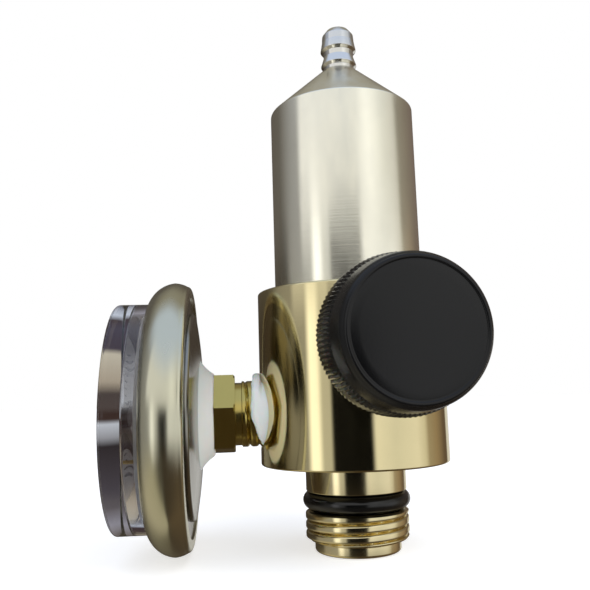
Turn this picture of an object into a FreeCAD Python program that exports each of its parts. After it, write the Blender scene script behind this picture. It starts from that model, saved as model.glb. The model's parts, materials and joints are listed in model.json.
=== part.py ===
"""Fixed-flow calibration gas regulator, as a parametric FreeCAD document.

Millimetres, +Z up. The origin is on the body axis, at the upper end of the inlet thread.
The gauge stands on a side port along -X. The on/off valve stands on a side port that
points to -Y, turned a few degrees towards +X.

Turned pieces are drawn on their own axis with local z along it: z is the height on the
body axis, and the distance from the body axis on the gauge and valve axes.
"""
import FreeCAD, Part
import math
import os

import Sketcher

# ---------------------------------------------------------------- driving dimensions

DIMENSIONS = {
    # inlet nipple and its fittings
    "thread_radius": 7.9375,
    "thread_length": 4.7,
    "tip_radius": 6.6,
    "tip_length": 1.5,
    "tip_edge": 0.5,
    "thread_bevel": 0.6,
    "seal_groove_start": 0.1,
    "seal_groove_width": 2.7,
    "seal_groove_radius": 5.65,
    "inlet_seal_section": 2.62,
    "neck_radius": 7.75,
    "filter_radius": 3.0,
    "filter_length": 4.0,
    "filter_depth": 1.0,
    "retainer_inner_radius": 2.0,
    "retainer_thickness": 0.7,
    "inlet_bore_radius": 1.5,
    "nipple_shank_radius": 6.5,
    "nipple_shank_length": 5.6,
    # lower body
    "body_radius": 14.6,
    "body_bottom": 6.9,
    "body_top": 33.6,
    "body_edge": 0.35,
    "inlet_chamber_radius": 5.6,
    "inlet_chamber_top": 17.6,
    "boss_radius": 9.5,
    "boss_height": 5.0,
    "passage_radius": 1.0,
    "feed_offset": 4.3,
    "nozzle_radius": 2.6,
    "nozzle_start": 29.0,
    "nozzle_length": 2.3,
    "nozzle_tip_radius": 1.2,
    "nozzle_tip_length": 1.2,
    "nozzle_bore_radius": 0.6,
    "stem_gland_radius": 4.7,
    "stem_gland_depth": 2.6,
    # piston, spring and bonnet
    "slide_clearance": 0.05,
    "piston_stem_radius": 3.0,
    "piston_head_radius": 9.45,
    "piston_head_height": 4.5,
    "piston_head_top": 61.8,
    "piston_travel": 0.75,
    "piston_bore_radius": 0.9,
    "piston_groove_radius": 7.7,
    "piston_groove_width": 2.2,
    "piston_seal_section": 1.7,
    "seat_disc_radius": 2.0,
    "seat_disc_thickness": 1.4,
    "cross_hole_radius": 0.6,
    "stem_seal_section": 1.5,
    "washer_thickness": 0.8,
    "spring_wire_radius": 0.85,
    "spring_mean_radius": 6.6,
    "spring_turns": 6.0,
    "bonnet_radius": 11.75,
    "bonnet_edge_height": 63.3,
    "bonnet_ceiling": 62.0,
    "cone_top_radius": 2.75,
    "cone_top_height": 71.4,
    "vent_radius": 0.35,
    "vent_height": 50.0,
    "vent_direction": -71.0,
    "orifice_radius": 2.0,
    "orifice_thickness": 1.6,
    "orifice_hole_radius": 0.2,
    # hose barb
    "barb_shank_radius": 2.4,
    "barb_shank_length": 5.0,
    "barb_radius": 3.0,
    "barb_root_radius": 2.5,
    "barb_lower_height": 72.4,
    "barb_waist_height": 73.9,
    "barb_upper_height": 75.1,
    "barb_step_height": 76.6,
    "barb_shoulder_radius": 2.62,
    "barb_shoulder_height": 77.8,
    "barb_tip_radius": 1.85,
    "barb_tip_height": 78.8,
    "barb_bore_radius": 1.2,
    # on/off valve
    "valve_height": 24.5,
    "valve_port_turn": 4.0,
    "valve_orifice_radius": 0.8,
    "valve_seat_distance": 3.0,
    "valve_chamber_radius": 3.2,
    "gland_start": 8.6,
    "gland_thread_radius": 5.0,
    "spot_face_distance": 13.5,
    "spot_face_radius": 7.2,
    "gland_hex_flats": 12.0,
    "gland_hex_height": 3.6,
    "gland_collar_radius": 4.4,
    "gland_end": 20.6,
    "packing_radius": 3.3,
    "packing_end": 12.2,
    "stem_shaft_radius": 2.0,
    "stem_thread_radius": 2.5,
    "stem_tip_radius": 1.4,
    "poppet_radius": 2.9,
    "poppet_length": 3.4,
    "poppet_lift_gap": 0.05,
    "poppet_socket_depth": 1.8,
    "soft_seat_radius": 1.6,
    "soft_seat_thickness": 0.8,
    "knob_hub_start": 21.0,
    "knob_start": 23.7,
    "knob_radius": 9.97,
    "knob_band_end": 28.3,
    "knob_shoulder_radius": 9.65,
    "knob_front_radius": 9.05,
    "knob_front_start": 33.0,
    "knob_face_radius": 8.1,
    "knob_end": 34.0,
    "knob_edge_round": 1.25,
    "knob_dome": 0.2,
    "knob_hub_radius": 5.6,
    "knob_wall": 2.2,
    "knob_recess_end": 30.6,
    "insert_radius": 3.6,
    "insert_end": 30.0,
    "stem_shank_radius": 2.2,
    "set_screw_radius": 1.25,
    "set_screw_distance": 26.0,
    "set_screw_turn": 40.0,
    # gauge, measured along its axis from the body axis
    "gauge_height": 14.85,
    "gauge_port_radius": 5.1,
    "gauge_port_start": 6.8,
    "gauge_port_mouth_radius": 5.5,
    "gauge_port_mouth": 12.9,
    "socket_thread_radius": 4.7,
    "socket_radius": 5.05,
    "socket_start": 7.4,
    "tape_radius": 5.4,
    "tape_end": 16.4,
    "hex_start": 18.5,
    "hex_flats": 11.1125,
    "hex_turn": 40.0,
    "cone_start": 21.65,
    "cone_small_radius": 6.3,
    "cone_large_radius": 8.3,
    "cone_flare_radius": 6.0,
    "spigot_radius": 4.0,
    "plate_start": 23.75,
    "plate_radius": 15.7,
    "plate_corner": 0.5,
    "dome_rise": 0.75,
    "case_sheet": 0.7,
    "flange_start": 25.3,
    "case_radius": 18.2,
    "case_end": 29.3,
    "bezel_start": 25.0,
    "bezel_back_radius": 19.3,
    "bezel_corner_round": 0.6,
    "bezel_corner_radius": 19.95,
    "bezel_corner_end": 25.5,
    "bezel_radius": 20.5,
    "bezel_widest": 27.35,
    "bezel_side_round": 4.0,
    "bezel_front_round": 4.4,
    "bezel_end": 31.0,
    "bezel_lip_radius": 17.9,
    "bezel_lip_slope": 0.15,
    "bezel_gap": 0.05,
    "gasket_thickness": 0.4,
    "window_flange_thickness": 0.4,
    "window_radius": 17.3,
    "window_wall": 1.4,
    "window_face_start": 33.4,
    "window_end": 36.2,
    "window_edge": 0.5,
    "dial_start": 31.2,
    "dial_thickness": 0.5,
    "dial_radius": 15.5,
    "dial_screw_offset": 5.6,
    "dial_screw_radius": 0.6,
    "pointer_start": 32.3,
    "pointer_thickness": 0.25,
    "pointer_length": 12.4,
    "pointer_tail": 4.2,
    "pointer_rest_angle": 135.0,
    "bar_thickness": 1.2,
    "bar_half_width": 4.0,
    "bar_reach": 14.4,
    "lug_half_width": 2.4,
    "lug_inner": 10.8,
    "tube_mean_radius": 12.6,
    "tube_half_thickness": 0.6,
    "tube_start": 26.6,
    "tube_width": 2.8,
    "tube_sweep": 242.0,
    "tube_end_direction": -70.0,
    "rear_plate_start": 26.4,
    "movement_sheet": 0.5,
    "front_plate_start": 29.6,
    "pillar_radius": 0.8,
    "sector_start": 27.35,
    "sector_thickness": 0.5,
    "sector_radius": 8.0,
    "pinion_radius": 1.0,
    "pinion_start": 27.1,
    "pinion_width": 1.1,
    "arbor_radius": 0.45,
    "pivot_direction": -130.0,
    "tail_length": 3.0,
    "link_start": 28.1,
    "link_thickness": 0.4,
    "hairspring_start": 28.75,
    "hairspring_width": 0.45,
    "hairspring_sheet": 0.12,
}
PINION_TEETH = 10
SECTOR_TEETH = 80
ADDENDUM = 0.17
DEDENDUM = 0.24
HAIRSPRING_HALF_TURNS = 7
HAIRSPRING_PITCH = 0.36

doc = FreeCAD.newDocument("regulator")
sheet = doc.addObject("Spreadsheet::Sheet", "Dimensions")
for row, (alias, number) in enumerate(DIMENSIONS.items(), start=1):
    sheet.set(f"A{row}", alias)
    sheet.set(f"B{row}", str(number))
    sheet.setAlias(f"B{row}", alias)
doc.recompute()


class Size:
    """A number together with the spreadsheet expression that gives it."""

    def __init__(self, value, text):
        self.value = value
        self.text = text

    def __add__(self, other):
        other = as_size(other)
        return Size(self.value + other.value, f"({self.text} + {other.text})")

    def __sub__(self, other):
        other = as_size(other)
        return Size(self.value - other.value, f"({self.text} - {other.text})")

    def __mul__(self, other):
        other = as_size(other)
        return Size(self.value * other.value, f"({self.text} * {other.text})")

    def __truediv__(self, other):
        other = as_size(other)
        return Size(self.value / other.value, f"({self.text} / {other.text})")

    def __neg__(self):
        return Size(-self.value, f"(0 - {self.text})")

    def __radd__(self, other):
        return as_size(other) + self

    def __rsub__(self, other):
        return as_size(other) - self

    def __rmul__(self, other):
        return as_size(other) * self


def as_size(number):
    """Wrap a plain number, so that it can take part in an expression."""
    return number if isinstance(number, Size) else Size(float(number), f"{float(number):.9g}")


class Sheet:
    """Gives each driving dimension by its alias, as a Size."""

    def __getattr__(self, alias):
        return Size(DIMENSIONS[alias], f"Dimensions.{alias}")


def sine(angle):
    return Size(math.sin(math.radians(angle.value)), f"sin({angle.text})")


def cosine(angle):
    return Size(math.cos(math.radians(angle.value)), f"cos({angle.text})")


s = Sheet()
parts = {}

# ---------------------------------------------------------------- axes

BODY = "body"
GAUGE = "gauge"
VALVE = "valve"


def axis_rotation(axis):
    """Turn a piece drawn about local Z onto its axis."""
    if axis == GAUGE:
        return FreeCAD.Rotation(FreeCAD.Vector(0, 1, 0), -90)
    if axis == VALVE:
        upright = FreeCAD.Rotation(FreeCAD.Vector(1, 0, 0), 90)
        return FreeCAD.Rotation(FreeCAD.Vector(0, 0, 1), s.valve_port_turn.value) * upright
    return FreeCAD.Rotation()


def place(piece, axis, x=0.0, y=0.0, z=0.0):
    """Put the piece's local origin at local x, y, z of the axis, bound to the spreadsheet."""
    if axis == GAUGE:
        where = {"x": -as_size(z), "y": as_size(y), "z": s.gauge_height + x}
    elif axis == VALVE:
        turn = s.valve_port_turn
        where = {
            "x": x * cosine(turn) + z * sine(turn),
            "y": x * sine(turn) - z * cosine(turn),
            "z": s.valve_height + y,
        }
    else:
        where = {"x": as_size(x), "y": as_size(y), "z": as_size(z)}
    base = FreeCAD.Vector(where["x"].value, where["y"].value, where["z"].value)
    piece.Placement = FreeCAD.Placement(base, axis_rotation(axis))
    for letter, size in where.items():
        piece.setExpression(f".Placement.Base.{letter}", size.text)
    return piece


def spin(piece, axis, degrees):
    """Turn a placed piece about its own local Z."""
    placement = piece.Placement
    about_z = FreeCAD.Rotation(FreeCAD.Vector(0, 0, 1), degrees)
    piece.Placement = FreeCAD.Placement(placement.Base, axis_rotation(axis) * about_z)
    return piece


# ---------------------------------------------------------------- sketches

ORIGIN_POINT = -1
HORIZONTAL_AXIS = -1
VERTICAL_AXIS = -2


def fix_point(sketch, edge, end, x, y):
    """Hold one end of an edge at x, y from the sketch's origin."""
    for kind, size, zero_line in (("DistanceX", x, VERTICAL_AXIS), ("DistanceY", y, HORIZONTAL_AXIS)):
        size = as_size(size)
        if size.value == 0.0:
            sketch.addConstraint(Sketcher.Constraint("PointOnObject", edge, end, zero_line))
            continue
        constraint = Sketcher.Constraint(kind, ORIGIN_POINT, 1, edge, end, size.value)
        index = sketch.addConstraint(constraint)
        sketch.setExpression(f"Constraints[{index}]", size.text)


def arc_between(start, end, radius):
    """Arc under 180 degrees from start to end; a positive radius bulges to the right of travel."""
    chord = end - start
    middle = (start + end) / 2
    left = FreeCAD.Vector(-chord.y, chord.x, 0) / chord.Length
    rise = math.sqrt(radius**2 - (chord.Length / 2) ** 2)
    centre = middle + left * math.copysign(rise, radius)
    angles = [math.atan2(p.y - centre.y, p.x - centre.x) for p in (start, end)]
    if radius < 0:
        angles.reverse()
    circle = Part.Circle(centre, FreeCAD.Vector(0, 0, 1), abs(radius))
    return Part.ArcOfCircle(circle, angles[0], angles[1])


def draw_outline(sketch, vertices):
    """Closed outline. A vertex is (x, y), or (x, y, radius) where an arc arrives at it."""
    corners = [(as_size(v[0]), as_size(v[1])) for v in vertices]
    points = [FreeCAD.Vector(x.value, y.value, 0) for x, y in corners]
    edges = []
    for i, corner in enumerate(corners):
        follow = (i + 1) % len(corners)
        if len(vertices[follow]) == 3:
            radius = as_size(vertices[follow][2])
            edge = sketch.addGeometry(arc_between(points[i], points[follow], radius.value), False)
            ends = (1, 2) if radius.value > 0 else (2, 1)
            size = radius if radius.value > 0 else -radius
            index = sketch.addConstraint(Sketcher.Constraint("Radius", edge, size.value))
            sketch.setExpression(f"Constraints[{index}]", size.text)
        else:
            edge = sketch.addGeometry(Part.LineSegment(points[i], points[follow]), False)
            ends = (1, 2)
        fix_point(sketch, edge, ends[0], *corner)
        edges.append((edge, ends))
    for i, (edge, ends) in enumerate(edges):
        following, next_ends = edges[(i + 1) % len(edges)]
        join_ends = Sketcher.Constraint("Coincident", edge, ends[1], following, next_ends[0])
        sketch.addConstraint(join_ends)


def draw_circle(sketch, x, y, radius):
    """Circle held at x, y with its radius bound to the spreadsheet."""
    radius = as_size(radius)
    centre = FreeCAD.Vector(as_size(x).value, as_size(y).value, 0)
    circle = Part.Circle(centre, FreeCAD.Vector(0, 0, 1), radius.value)
    edge = sketch.addGeometry(circle, False)
    index = sketch.addConstraint(Sketcher.Constraint("Radius", edge, radius.value))
    sketch.setExpression(f"Constraints[{index}]", radius.text)
    fix_point(sketch, edge, 3, x, y)


def new_sketch(body, role, name):
    """Sketch on one of the body's own origin planes."""
    sketch = body.newObject("Sketcher::SketchObject", name)
    plane = [f for f in body.Origin.OriginFeatures if f.Role == role][0]
    sketch.AttachmentSupport = (plane, [""])
    sketch.MapMode = "FlatFace"
    return sketch


# ---------------------------------------------------------------- solids


def turned(label, vertices, axis=BODY):
    """Body of revolution: vertices are (radius, local z)."""
    body = doc.addObject("PartDesign::Body", label)
    sketch = new_sketch(body, "XZ_Plane", label + "_profile")
    draw_outline(sketch, vertices)
    turn = body.newObject("PartDesign::Revolution", label + "_turn")
    turn.Profile = sketch
    turn.ReferenceAxis = (sketch, ["V_Axis"])
    turn.Angle = 360
    body.Tip = turn
    return place(body, axis)


def flat(label, start, thickness, axis, vertices=None, circle=None, holes=()):
    """Flat plate padded from local z start, with round holes given as (x, y, radius)."""
    body = doc.addObject("PartDesign::Body", label)
    sketch = new_sketch(body, "XY_Plane", label + "_outline")
    if vertices:
        draw_outline(sketch, vertices)
    else:
        draw_circle(sketch, 0, 0, circle)
    for x, y, radius in holes:
        draw_circle(sketch, x, y, radius)
    pad = body.newObject("PartDesign::Pad", label + "_pad")
    pad.Profile = sketch
    thickness = as_size(thickness)
    pad.Length = thickness.value
    pad.setExpression("Length", thickness.text)
    body.Tip = pad
    return place(body, axis, z=start)


def rod(label, radius, start, length, axis, x=0.0, y=0.0):
    """Round bar along the axis."""
    bar = doc.addObject("Part::Cylinder", label)
    for name, size in (("Radius", as_size(radius)), ("Height", as_size(length))):
        setattr(bar, name, size.value)
        bar.setExpression(name, size.text)
    return place(bar, axis, x, y, start)


def block(label, corner, size, axis):
    """Box from its lowest local corner."""
    box = doc.addObject("Part::Box", label)
    for name, length in zip(("Length", "Width", "Height"), size):
        length = as_size(length)
        setattr(box, name, length.value)
        box.setExpression(name, length.text)
    return place(box, axis, *corner)


def hexagon(label, across_flats, start, length, axis, turn=30):
    """Hexagonal prism; turn is the angle from local X to a corner, and 30 puts one on local Y."""
    prism = doc.addObject("Part::Prism", label)
    prism.Polygon = 6
    circumradius = as_size(across_flats) / math.sqrt(3)
    for name, size in (("Circumradius", circumradius), ("Height", as_size(length))):
        setattr(prism, name, size.value)
        prism.setExpression(name, size.text)
    return spin(place(prism, axis, z=start), axis, turn)


def o_ring(label, inner_radius, section, middle, axis):
    """Round-section ring whose hole has the given radius."""
    ring = doc.addObject("Part::Torus", label)
    minor = as_size(section) / 2
    for name, size in (("Radius1", inner_radius + minor), ("Radius2", minor)):
        setattr(ring, name, size.value)
        ring.setExpression(name, size.text)
    return place(ring, axis, z=middle)


def joined(label, pieces):
    fuse = doc.addObject("Part::MultiFuse", label)
    fuse.Shapes = pieces
    return fuse


def cut_from(label, base, tools):
    """Base with the tools taken away."""
    cut = doc.addObject("Part::Cut", label)
    cut.Base = base
    cut.Tool = tools[0] if len(tools) == 1 else joined(label + "_tools", tools)
    return cut


def tube(label, outer, inner, start, end, axis):
    """Plain ring from start to end."""
    return turned(label, [(inner, start), (outer, start), (outer, end), (inner, end)], axis)


def keep(node, piece):
    """Name a finished sub-part after its node."""
    piece.Label = node
    parts[node] = piece


# ---------------------------------------------------------------- inlet


def make_inlet():
    tip_end = -s.thread_length
    lowest = tip_end - s.tip_length
    groove_end = s.seal_groove_start + s.seal_groove_width
    filter_top = lowest + s.filter_depth + s.filter_length
    shank_end = s.body_bottom + s.nipple_shank_length
    keep("inlet_nipple", turned("nipple", [
        (s.filter_radius, lowest),
        (s.tip_radius - s.tip_edge, lowest),
        (s.tip_radius, lowest + s.tip_edge, s.tip_edge),
        (s.tip_radius, tip_end),
        (s.thread_radius - s.thread_bevel, tip_end),
        (s.thread_radius, tip_end + s.thread_bevel),
        (s.thread_radius, 0),
        (s.seal_groove_radius, s.seal_groove_start),
        (s.seal_groove_radius, groove_end),
        (s.neck_radius, groove_end),
        (s.neck_radius, s.body_bottom),
        (s.nipple_shank_radius, s.body_bottom),
        (s.nipple_shank_radius, shank_end),
        (s.inlet_bore_radius, shank_end),
        (s.inlet_bore_radius, filter_top),
        (s.filter_radius, filter_top),
    ]))
    middle = s.seal_groove_start + s.seal_groove_width / 2
    keep("inlet_o_ring", o_ring("inlet_seal", s.seal_groove_radius, s.inlet_seal_section, middle, BODY))
    filter_start = lowest + s.filter_depth
    keep("inlet_filter", rod("filter", s.filter_radius, filter_start, s.filter_length, BODY))
    ring_start = filter_start - s.retainer_thickness
    keep("filter_retainer", tube(
        "retainer", s.filter_radius, s.retainer_inner_radius, ring_start, filter_start, BODY))


# ---------------------------------------------------------------- lower body


def make_lower_body():
    boss_top = s.body_top + s.boss_height
    gland_floor = boss_top - s.stem_gland_depth
    stem_bore = s.piston_stem_radius + s.slide_clearance
    shank_end = s.body_bottom + s.nipple_shank_length
    nozzle_pocket_end = s.nozzle_start + s.nozzle_length
    passage_floor = s.valve_height - s.passage_radius * 1.2
    blank = turned("body_blank", [
        (0, s.inlet_chamber_top),
        (s.inlet_chamber_radius, s.inlet_chamber_top),
        (s.inlet_chamber_radius, shank_end),
        (s.nipple_shank_radius, shank_end),
        (s.nipple_shank_radius, s.body_bottom),
        (s.body_radius - s.body_edge, s.body_bottom),
        (s.body_radius, s.body_bottom + s.body_edge),
        (s.body_radius, s.body_top - s.body_edge),
        (s.body_radius - s.body_edge, s.body_top),
        (s.boss_radius, s.body_top),
        (s.boss_radius, boss_top),
        (s.stem_gland_radius, boss_top),
        (s.stem_gland_radius, gland_floor),
        (stem_bore, gland_floor),
        (stem_bore, nozzle_pocket_end),
        (s.nozzle_radius, nozzle_pocket_end),
        (s.nozzle_radius, s.nozzle_start),
        (s.passage_radius, s.nozzle_start),
        (s.passage_radius, passage_floor),
        (0, passage_floor),
    ])
    outside = s.body_radius + 2
    valve_port = turned("valve_port", [
        (0, 0),
        (s.valve_orifice_radius, 0),
        (s.valve_orifice_radius, s.valve_seat_distance),
        (s.valve_chamber_radius, s.valve_seat_distance),
        (s.valve_chamber_radius, s.gland_start),
        (s.gland_thread_radius, s.gland_start),
        (s.gland_thread_radius, s.spot_face_distance),
        (s.spot_face_radius, s.spot_face_distance),
        (s.spot_face_radius, outside),
        (0, outside),
    ], VALVE)
    gauge_port = turned("gauge_port", [
        (0, 0),
        (s.passage_radius, 0),
        (s.passage_radius, s.gauge_port_start),
        (s.socket_thread_radius, s.gauge_port_start),
        (s.gauge_port_radius, s.gauge_port_mouth),
        (s.gauge_port_mouth_radius, s.gauge_port_mouth),
        (s.gauge_port_mouth_radius, outside),
        (0, outside),
    ], GAUGE)
    turn = s.valve_port_turn
    feed_x = s.feed_offset * sine(turn)
    feed_y = -s.feed_offset * cosine(turn)
    feed_start = s.inlet_chamber_top - 1
    feed_length = s.valve_height - feed_start
    feed = rod("feed", s.passage_radius, feed_start, feed_length, BODY, feed_x, feed_y)
    keep("lower_body", cut_from("body_cut", blank, [valve_port, gauge_port, feed]))

    nozzle_end = s.nozzle_start + s.nozzle_length
    keep("pressure_nozzle", turned("nozzle", [
        (s.nozzle_bore_radius, s.nozzle_start),
        (s.nozzle_radius, s.nozzle_start),
        (s.nozzle_radius, nozzle_end),
        (s.nozzle_tip_radius * 1.4, nozzle_end),
        (s.nozzle_tip_radius, nozzle_end + s.nozzle_tip_length),
        (s.nozzle_bore_radius, nozzle_end + s.nozzle_tip_length),
    ]))
    stem_seal_inner = s.piston_stem_radius + s.slide_clearance
    seal_middle = gland_floor + s.stem_seal_section / 2 + 0.1
    keep("stem_o_ring", o_ring("stem_seal", stem_seal_inner, s.stem_seal_section, seal_middle, BODY))
    washer_start = boss_top - s.washer_thickness
    keep("stem_gland_washer", tube(
        "stem_washer", s.stem_gland_radius, stem_seal_inner, washer_start, boss_top, BODY))


# ---------------------------------------------------------------- piston and bonnet


def make_piston():
    nozzle_top = s.nozzle_start + s.nozzle_length + s.nozzle_tip_length
    lowest = nozzle_top + s.piston_travel + s.slide_clearance
    disc_top = lowest + s.seat_disc_thickness
    head_bottom = s.piston_head_top - s.piston_head_height
    groove_middle = s.piston_head_top - s.piston_head_height / 2
    groove_start = groove_middle - s.piston_groove_width / 2
    groove_end = groove_middle + s.piston_groove_width / 2
    blank = turned("piston_blank", [
        (s.seat_disc_radius, lowest),
        (s.piston_stem_radius - 0.3, lowest),
        (s.piston_stem_radius, lowest + 0.3),
        (s.piston_stem_radius, head_bottom),
        (s.piston_head_radius, head_bottom),
        (s.piston_head_radius, groove_start),
        (s.piston_groove_radius, groove_start),
        (s.piston_groove_radius, groove_end),
        (s.piston_head_radius, groove_end),
        (s.piston_head_radius, s.piston_head_top),
        (s.piston_bore_radius, s.piston_head_top),
        (s.piston_bore_radius, disc_top),
        (s.seat_disc_radius, disc_top),
    ])
    cross = doc.addObject("Part::Cylinder", "cross_hole")
    reach = s.piston_stem_radius + 1
    for name, size in (("Radius", s.cross_hole_radius), ("Height", reach * 2)):
        setattr(cross, name, size.value)
        cross.setExpression(name, size.text)
    height = disc_top + 0.9
    along_y = FreeCAD.Rotation(FreeCAD.Vector(1, 0, 0), 90)
    cross.Placement = FreeCAD.Placement(FreeCAD.Vector(0, reach.value, height.value), along_y)
    cross.setExpression(".Placement.Base.y", reach.text)
    cross.setExpression(".Placement.Base.z", height.text)
    keep("piston", cut_from("piston_cut", blank, [cross]))
    keep("piston_seat_disc", rod(
        "seat_disc", s.seat_disc_radius, lowest, s.seat_disc_thickness, BODY))
    keep("piston_o_ring", o_ring(
        "piston_seal", s.piston_groove_radius, s.piston_seal_section, groove_middle, BODY))


def make_spring():
    """Open coil spring between the boss and the piston head."""
    margin = s.spring_wire_radius + 0.1
    start = s.body_top + s.boss_height + margin
    end = s.piston_head_top - s.piston_head_height - margin
    height = end - start
    helix = doc.addObject("Part::Helix", "spring_path")
    sizes = (("Pitch", height / s.spring_turns), ("Height", height), ("Radius", s.spring_mean_radius))
    for name, size in sizes:
        setattr(helix, name, size.value)
        helix.setExpression(name, size.text)
    place(helix, BODY, z=start)
    wire = doc.addObject("Part::Circle", "spring_wire")
    wire.Radius = s.spring_wire_radius.value
    wire.setExpression("Radius", s.spring_wire_radius.text)
    across = FreeCAD.Rotation(FreeCAD.Vector(1, 0, 0), 90)
    base = FreeCAD.Vector(s.spring_mean_radius.value, 0, start.value)
    wire.Placement = FreeCAD.Placement(base, across)
    wire.setExpression(".Placement.Base.x", s.spring_mean_radius.text)
    wire.setExpression(".Placement.Base.z", start.text)
    sweep = doc.addObject("Part::Sweep", "spring_sweep")
    sweep.Sections = [wire]
    sweep.Spine = (helix, [])
    sweep.Solid = True
    sweep.Frenet = True
    keep("regulating_spring", sweep)


def make_bonnet():
    orifice_start = s.cone_top_height - s.barb_shank_length - s.orifice_thickness
    bore = s.piston_head_radius + s.slide_clearance
    blank = turned("bonnet_blank", [
        (bore, s.body_top),
        (s.bonnet_radius, s.body_top),
        (s.bonnet_radius, s.bonnet_edge_height),
        (s.cone_top_radius, s.cone_top_height),
        (s.barb_shank_radius, s.cone_top_height),
        (s.barb_shank_radius, s.cone_top_height - s.barb_shank_length),
        (s.orifice_radius, s.cone_top_height - s.barb_shank_length),
        (s.orifice_radius, orifice_start),
        (s.barb_bore_radius, orifice_start),
        (s.barb_bore_radius, s.bonnet_ceiling),
        (bore, s.bonnet_ceiling),
    ])
    vent = doc.addObject("Part::Cylinder", "vent")
    for name, size in (("Radius", s.vent_radius), ("Height", s.bonnet_radius + 1)):
        setattr(vent, name, size.value)
        vent.setExpression(name, size.text)
    outwards = FreeCAD.Rotation(FreeCAD.Vector(0, 1, 0), 90)
    about_z = FreeCAD.Rotation(FreeCAD.Vector(0, 0, 1), s.vent_direction.value)
    vent.Placement = FreeCAD.Placement(FreeCAD.Vector(0, 0, s.vent_height.value), about_z * outwards)
    vent.setExpression(".Placement.Base.z", s.vent_height.text)
    keep("bonnet", cut_from("bonnet_cut", blank, [vent]))
    orifice_end = s.cone_top_height - s.barb_shank_length
    keep("flow_orifice", tube(
        "orifice", s.orifice_radius, s.orifice_hole_radius, orifice_start, orifice_end, BODY))
    shank_start = s.cone_top_height - s.barb_shank_length
    keep("hose_barb", turned("barb", [
        (s.barb_bore_radius, shank_start),
        (s.barb_shank_radius, shank_start),
        (s.barb_shank_radius, s.cone_top_height),
        (s.barb_root_radius, s.cone_top_height),
        (s.barb_root_radius, s.barb_lower_height - 0.35),
        (s.barb_radius, s.barb_lower_height),
        (s.barb_root_radius, s.barb_waist_height),
        (s.barb_root_radius, s.barb_upper_height - 0.35),
        (s.barb_radius, s.barb_upper_height),
        (s.barb_shoulder_radius + 0.1, s.barb_step_height),
        (s.barb_shoulder_radius, s.barb_shoulder_height),
        (s.barb_tip_radius, s.barb_tip_height),
        (s.barb_bore_radius, s.barb_tip_height),
    ]))


# ---------------------------------------------------------------- on/off valve


def make_valve():
    hex_end = s.spot_face_distance + s.gland_hex_height
    thread_bore = s.stem_thread_radius + s.slide_clearance
    gland_turned = turned("gland_blank", [
        (s.packing_radius, s.gland_start),
        (s.gland_thread_radius, s.gland_start),
        (s.gland_thread_radius, s.spot_face_distance),
        (s.gland_hex_flats / 2, s.spot_face_distance),
        (s.gland_hex_flats / 2, hex_end),
        (s.gland_collar_radius, hex_end),
        (s.gland_collar_radius, s.gland_end),
        (thread_bore, s.gland_end),
        (thread_bore, s.packing_end),
        (s.packing_radius, s.packing_end),
    ], VALVE)
    gland_hex = cut_from(
        "gland_hex_ring",
        hexagon("gland_hex", s.gland_hex_flats, s.spot_face_distance, s.gland_hex_height, VALVE),
        [rod("gland_hex_bore", s.gland_collar_radius, s.spot_face_distance,
             s.gland_hex_height, VALVE)],
    )
    keep("valve_gland_nut", joined("gland", [gland_turned, gland_hex]))

    shaft_bore = s.stem_shaft_radius + s.slide_clearance
    packing_section = s.packing_radius - shaft_bore
    packing_middle = s.packing_end - packing_section / 2 - s.washer_thickness
    keep("valve_stem_o_ring", o_ring("packing", shaft_bore, packing_section, packing_middle, VALVE))
    keep("valve_backup_washer", tube(
        "packing_washer", s.packing_radius, shaft_bore,
        s.packing_end - s.washer_thickness, s.packing_end, VALVE))

    closed = s.valve_seat_distance + s.poppet_lift_gap
    poppet_end = closed + s.poppet_length
    socket_floor = poppet_end - s.poppet_socket_depth
    seat_end = closed + s.soft_seat_thickness
    keep("valve_poppet", turned("poppet", [
        (0, seat_end),
        (s.soft_seat_radius, seat_end),
        (s.soft_seat_radius, closed + 0.2),
        (s.poppet_radius - 0.5, closed + 0.2),
        (s.poppet_radius, closed + 0.7),
        (s.poppet_radius, poppet_end),
        (s.stem_tip_radius + s.slide_clearance, poppet_end),
        (s.stem_tip_radius + s.slide_clearance, socket_floor),
        (0, socket_floor),
    ], VALVE))
    keep("valve_soft_seat", rod(
        "soft_seat", s.soft_seat_radius, closed, s.soft_seat_thickness, VALVE))

    thread_start = s.packing_end + 0.4
    keep("valve_stem", turned("stem", [
        (0, socket_floor + s.slide_clearance),
        (s.stem_tip_radius, socket_floor + s.slide_clearance),
        (s.stem_tip_radius, poppet_end + 0.3),
        (s.stem_shaft_radius, poppet_end + 0.3),
        (s.stem_shaft_radius, thread_start),
        (s.stem_thread_radius, thread_start),
        (s.stem_thread_radius, s.knob_hub_start),
        (s.stem_shank_radius, s.knob_hub_start),
        (s.stem_shank_radius, s.insert_end),
        (0, s.insert_end),
    ], VALVE))


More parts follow.
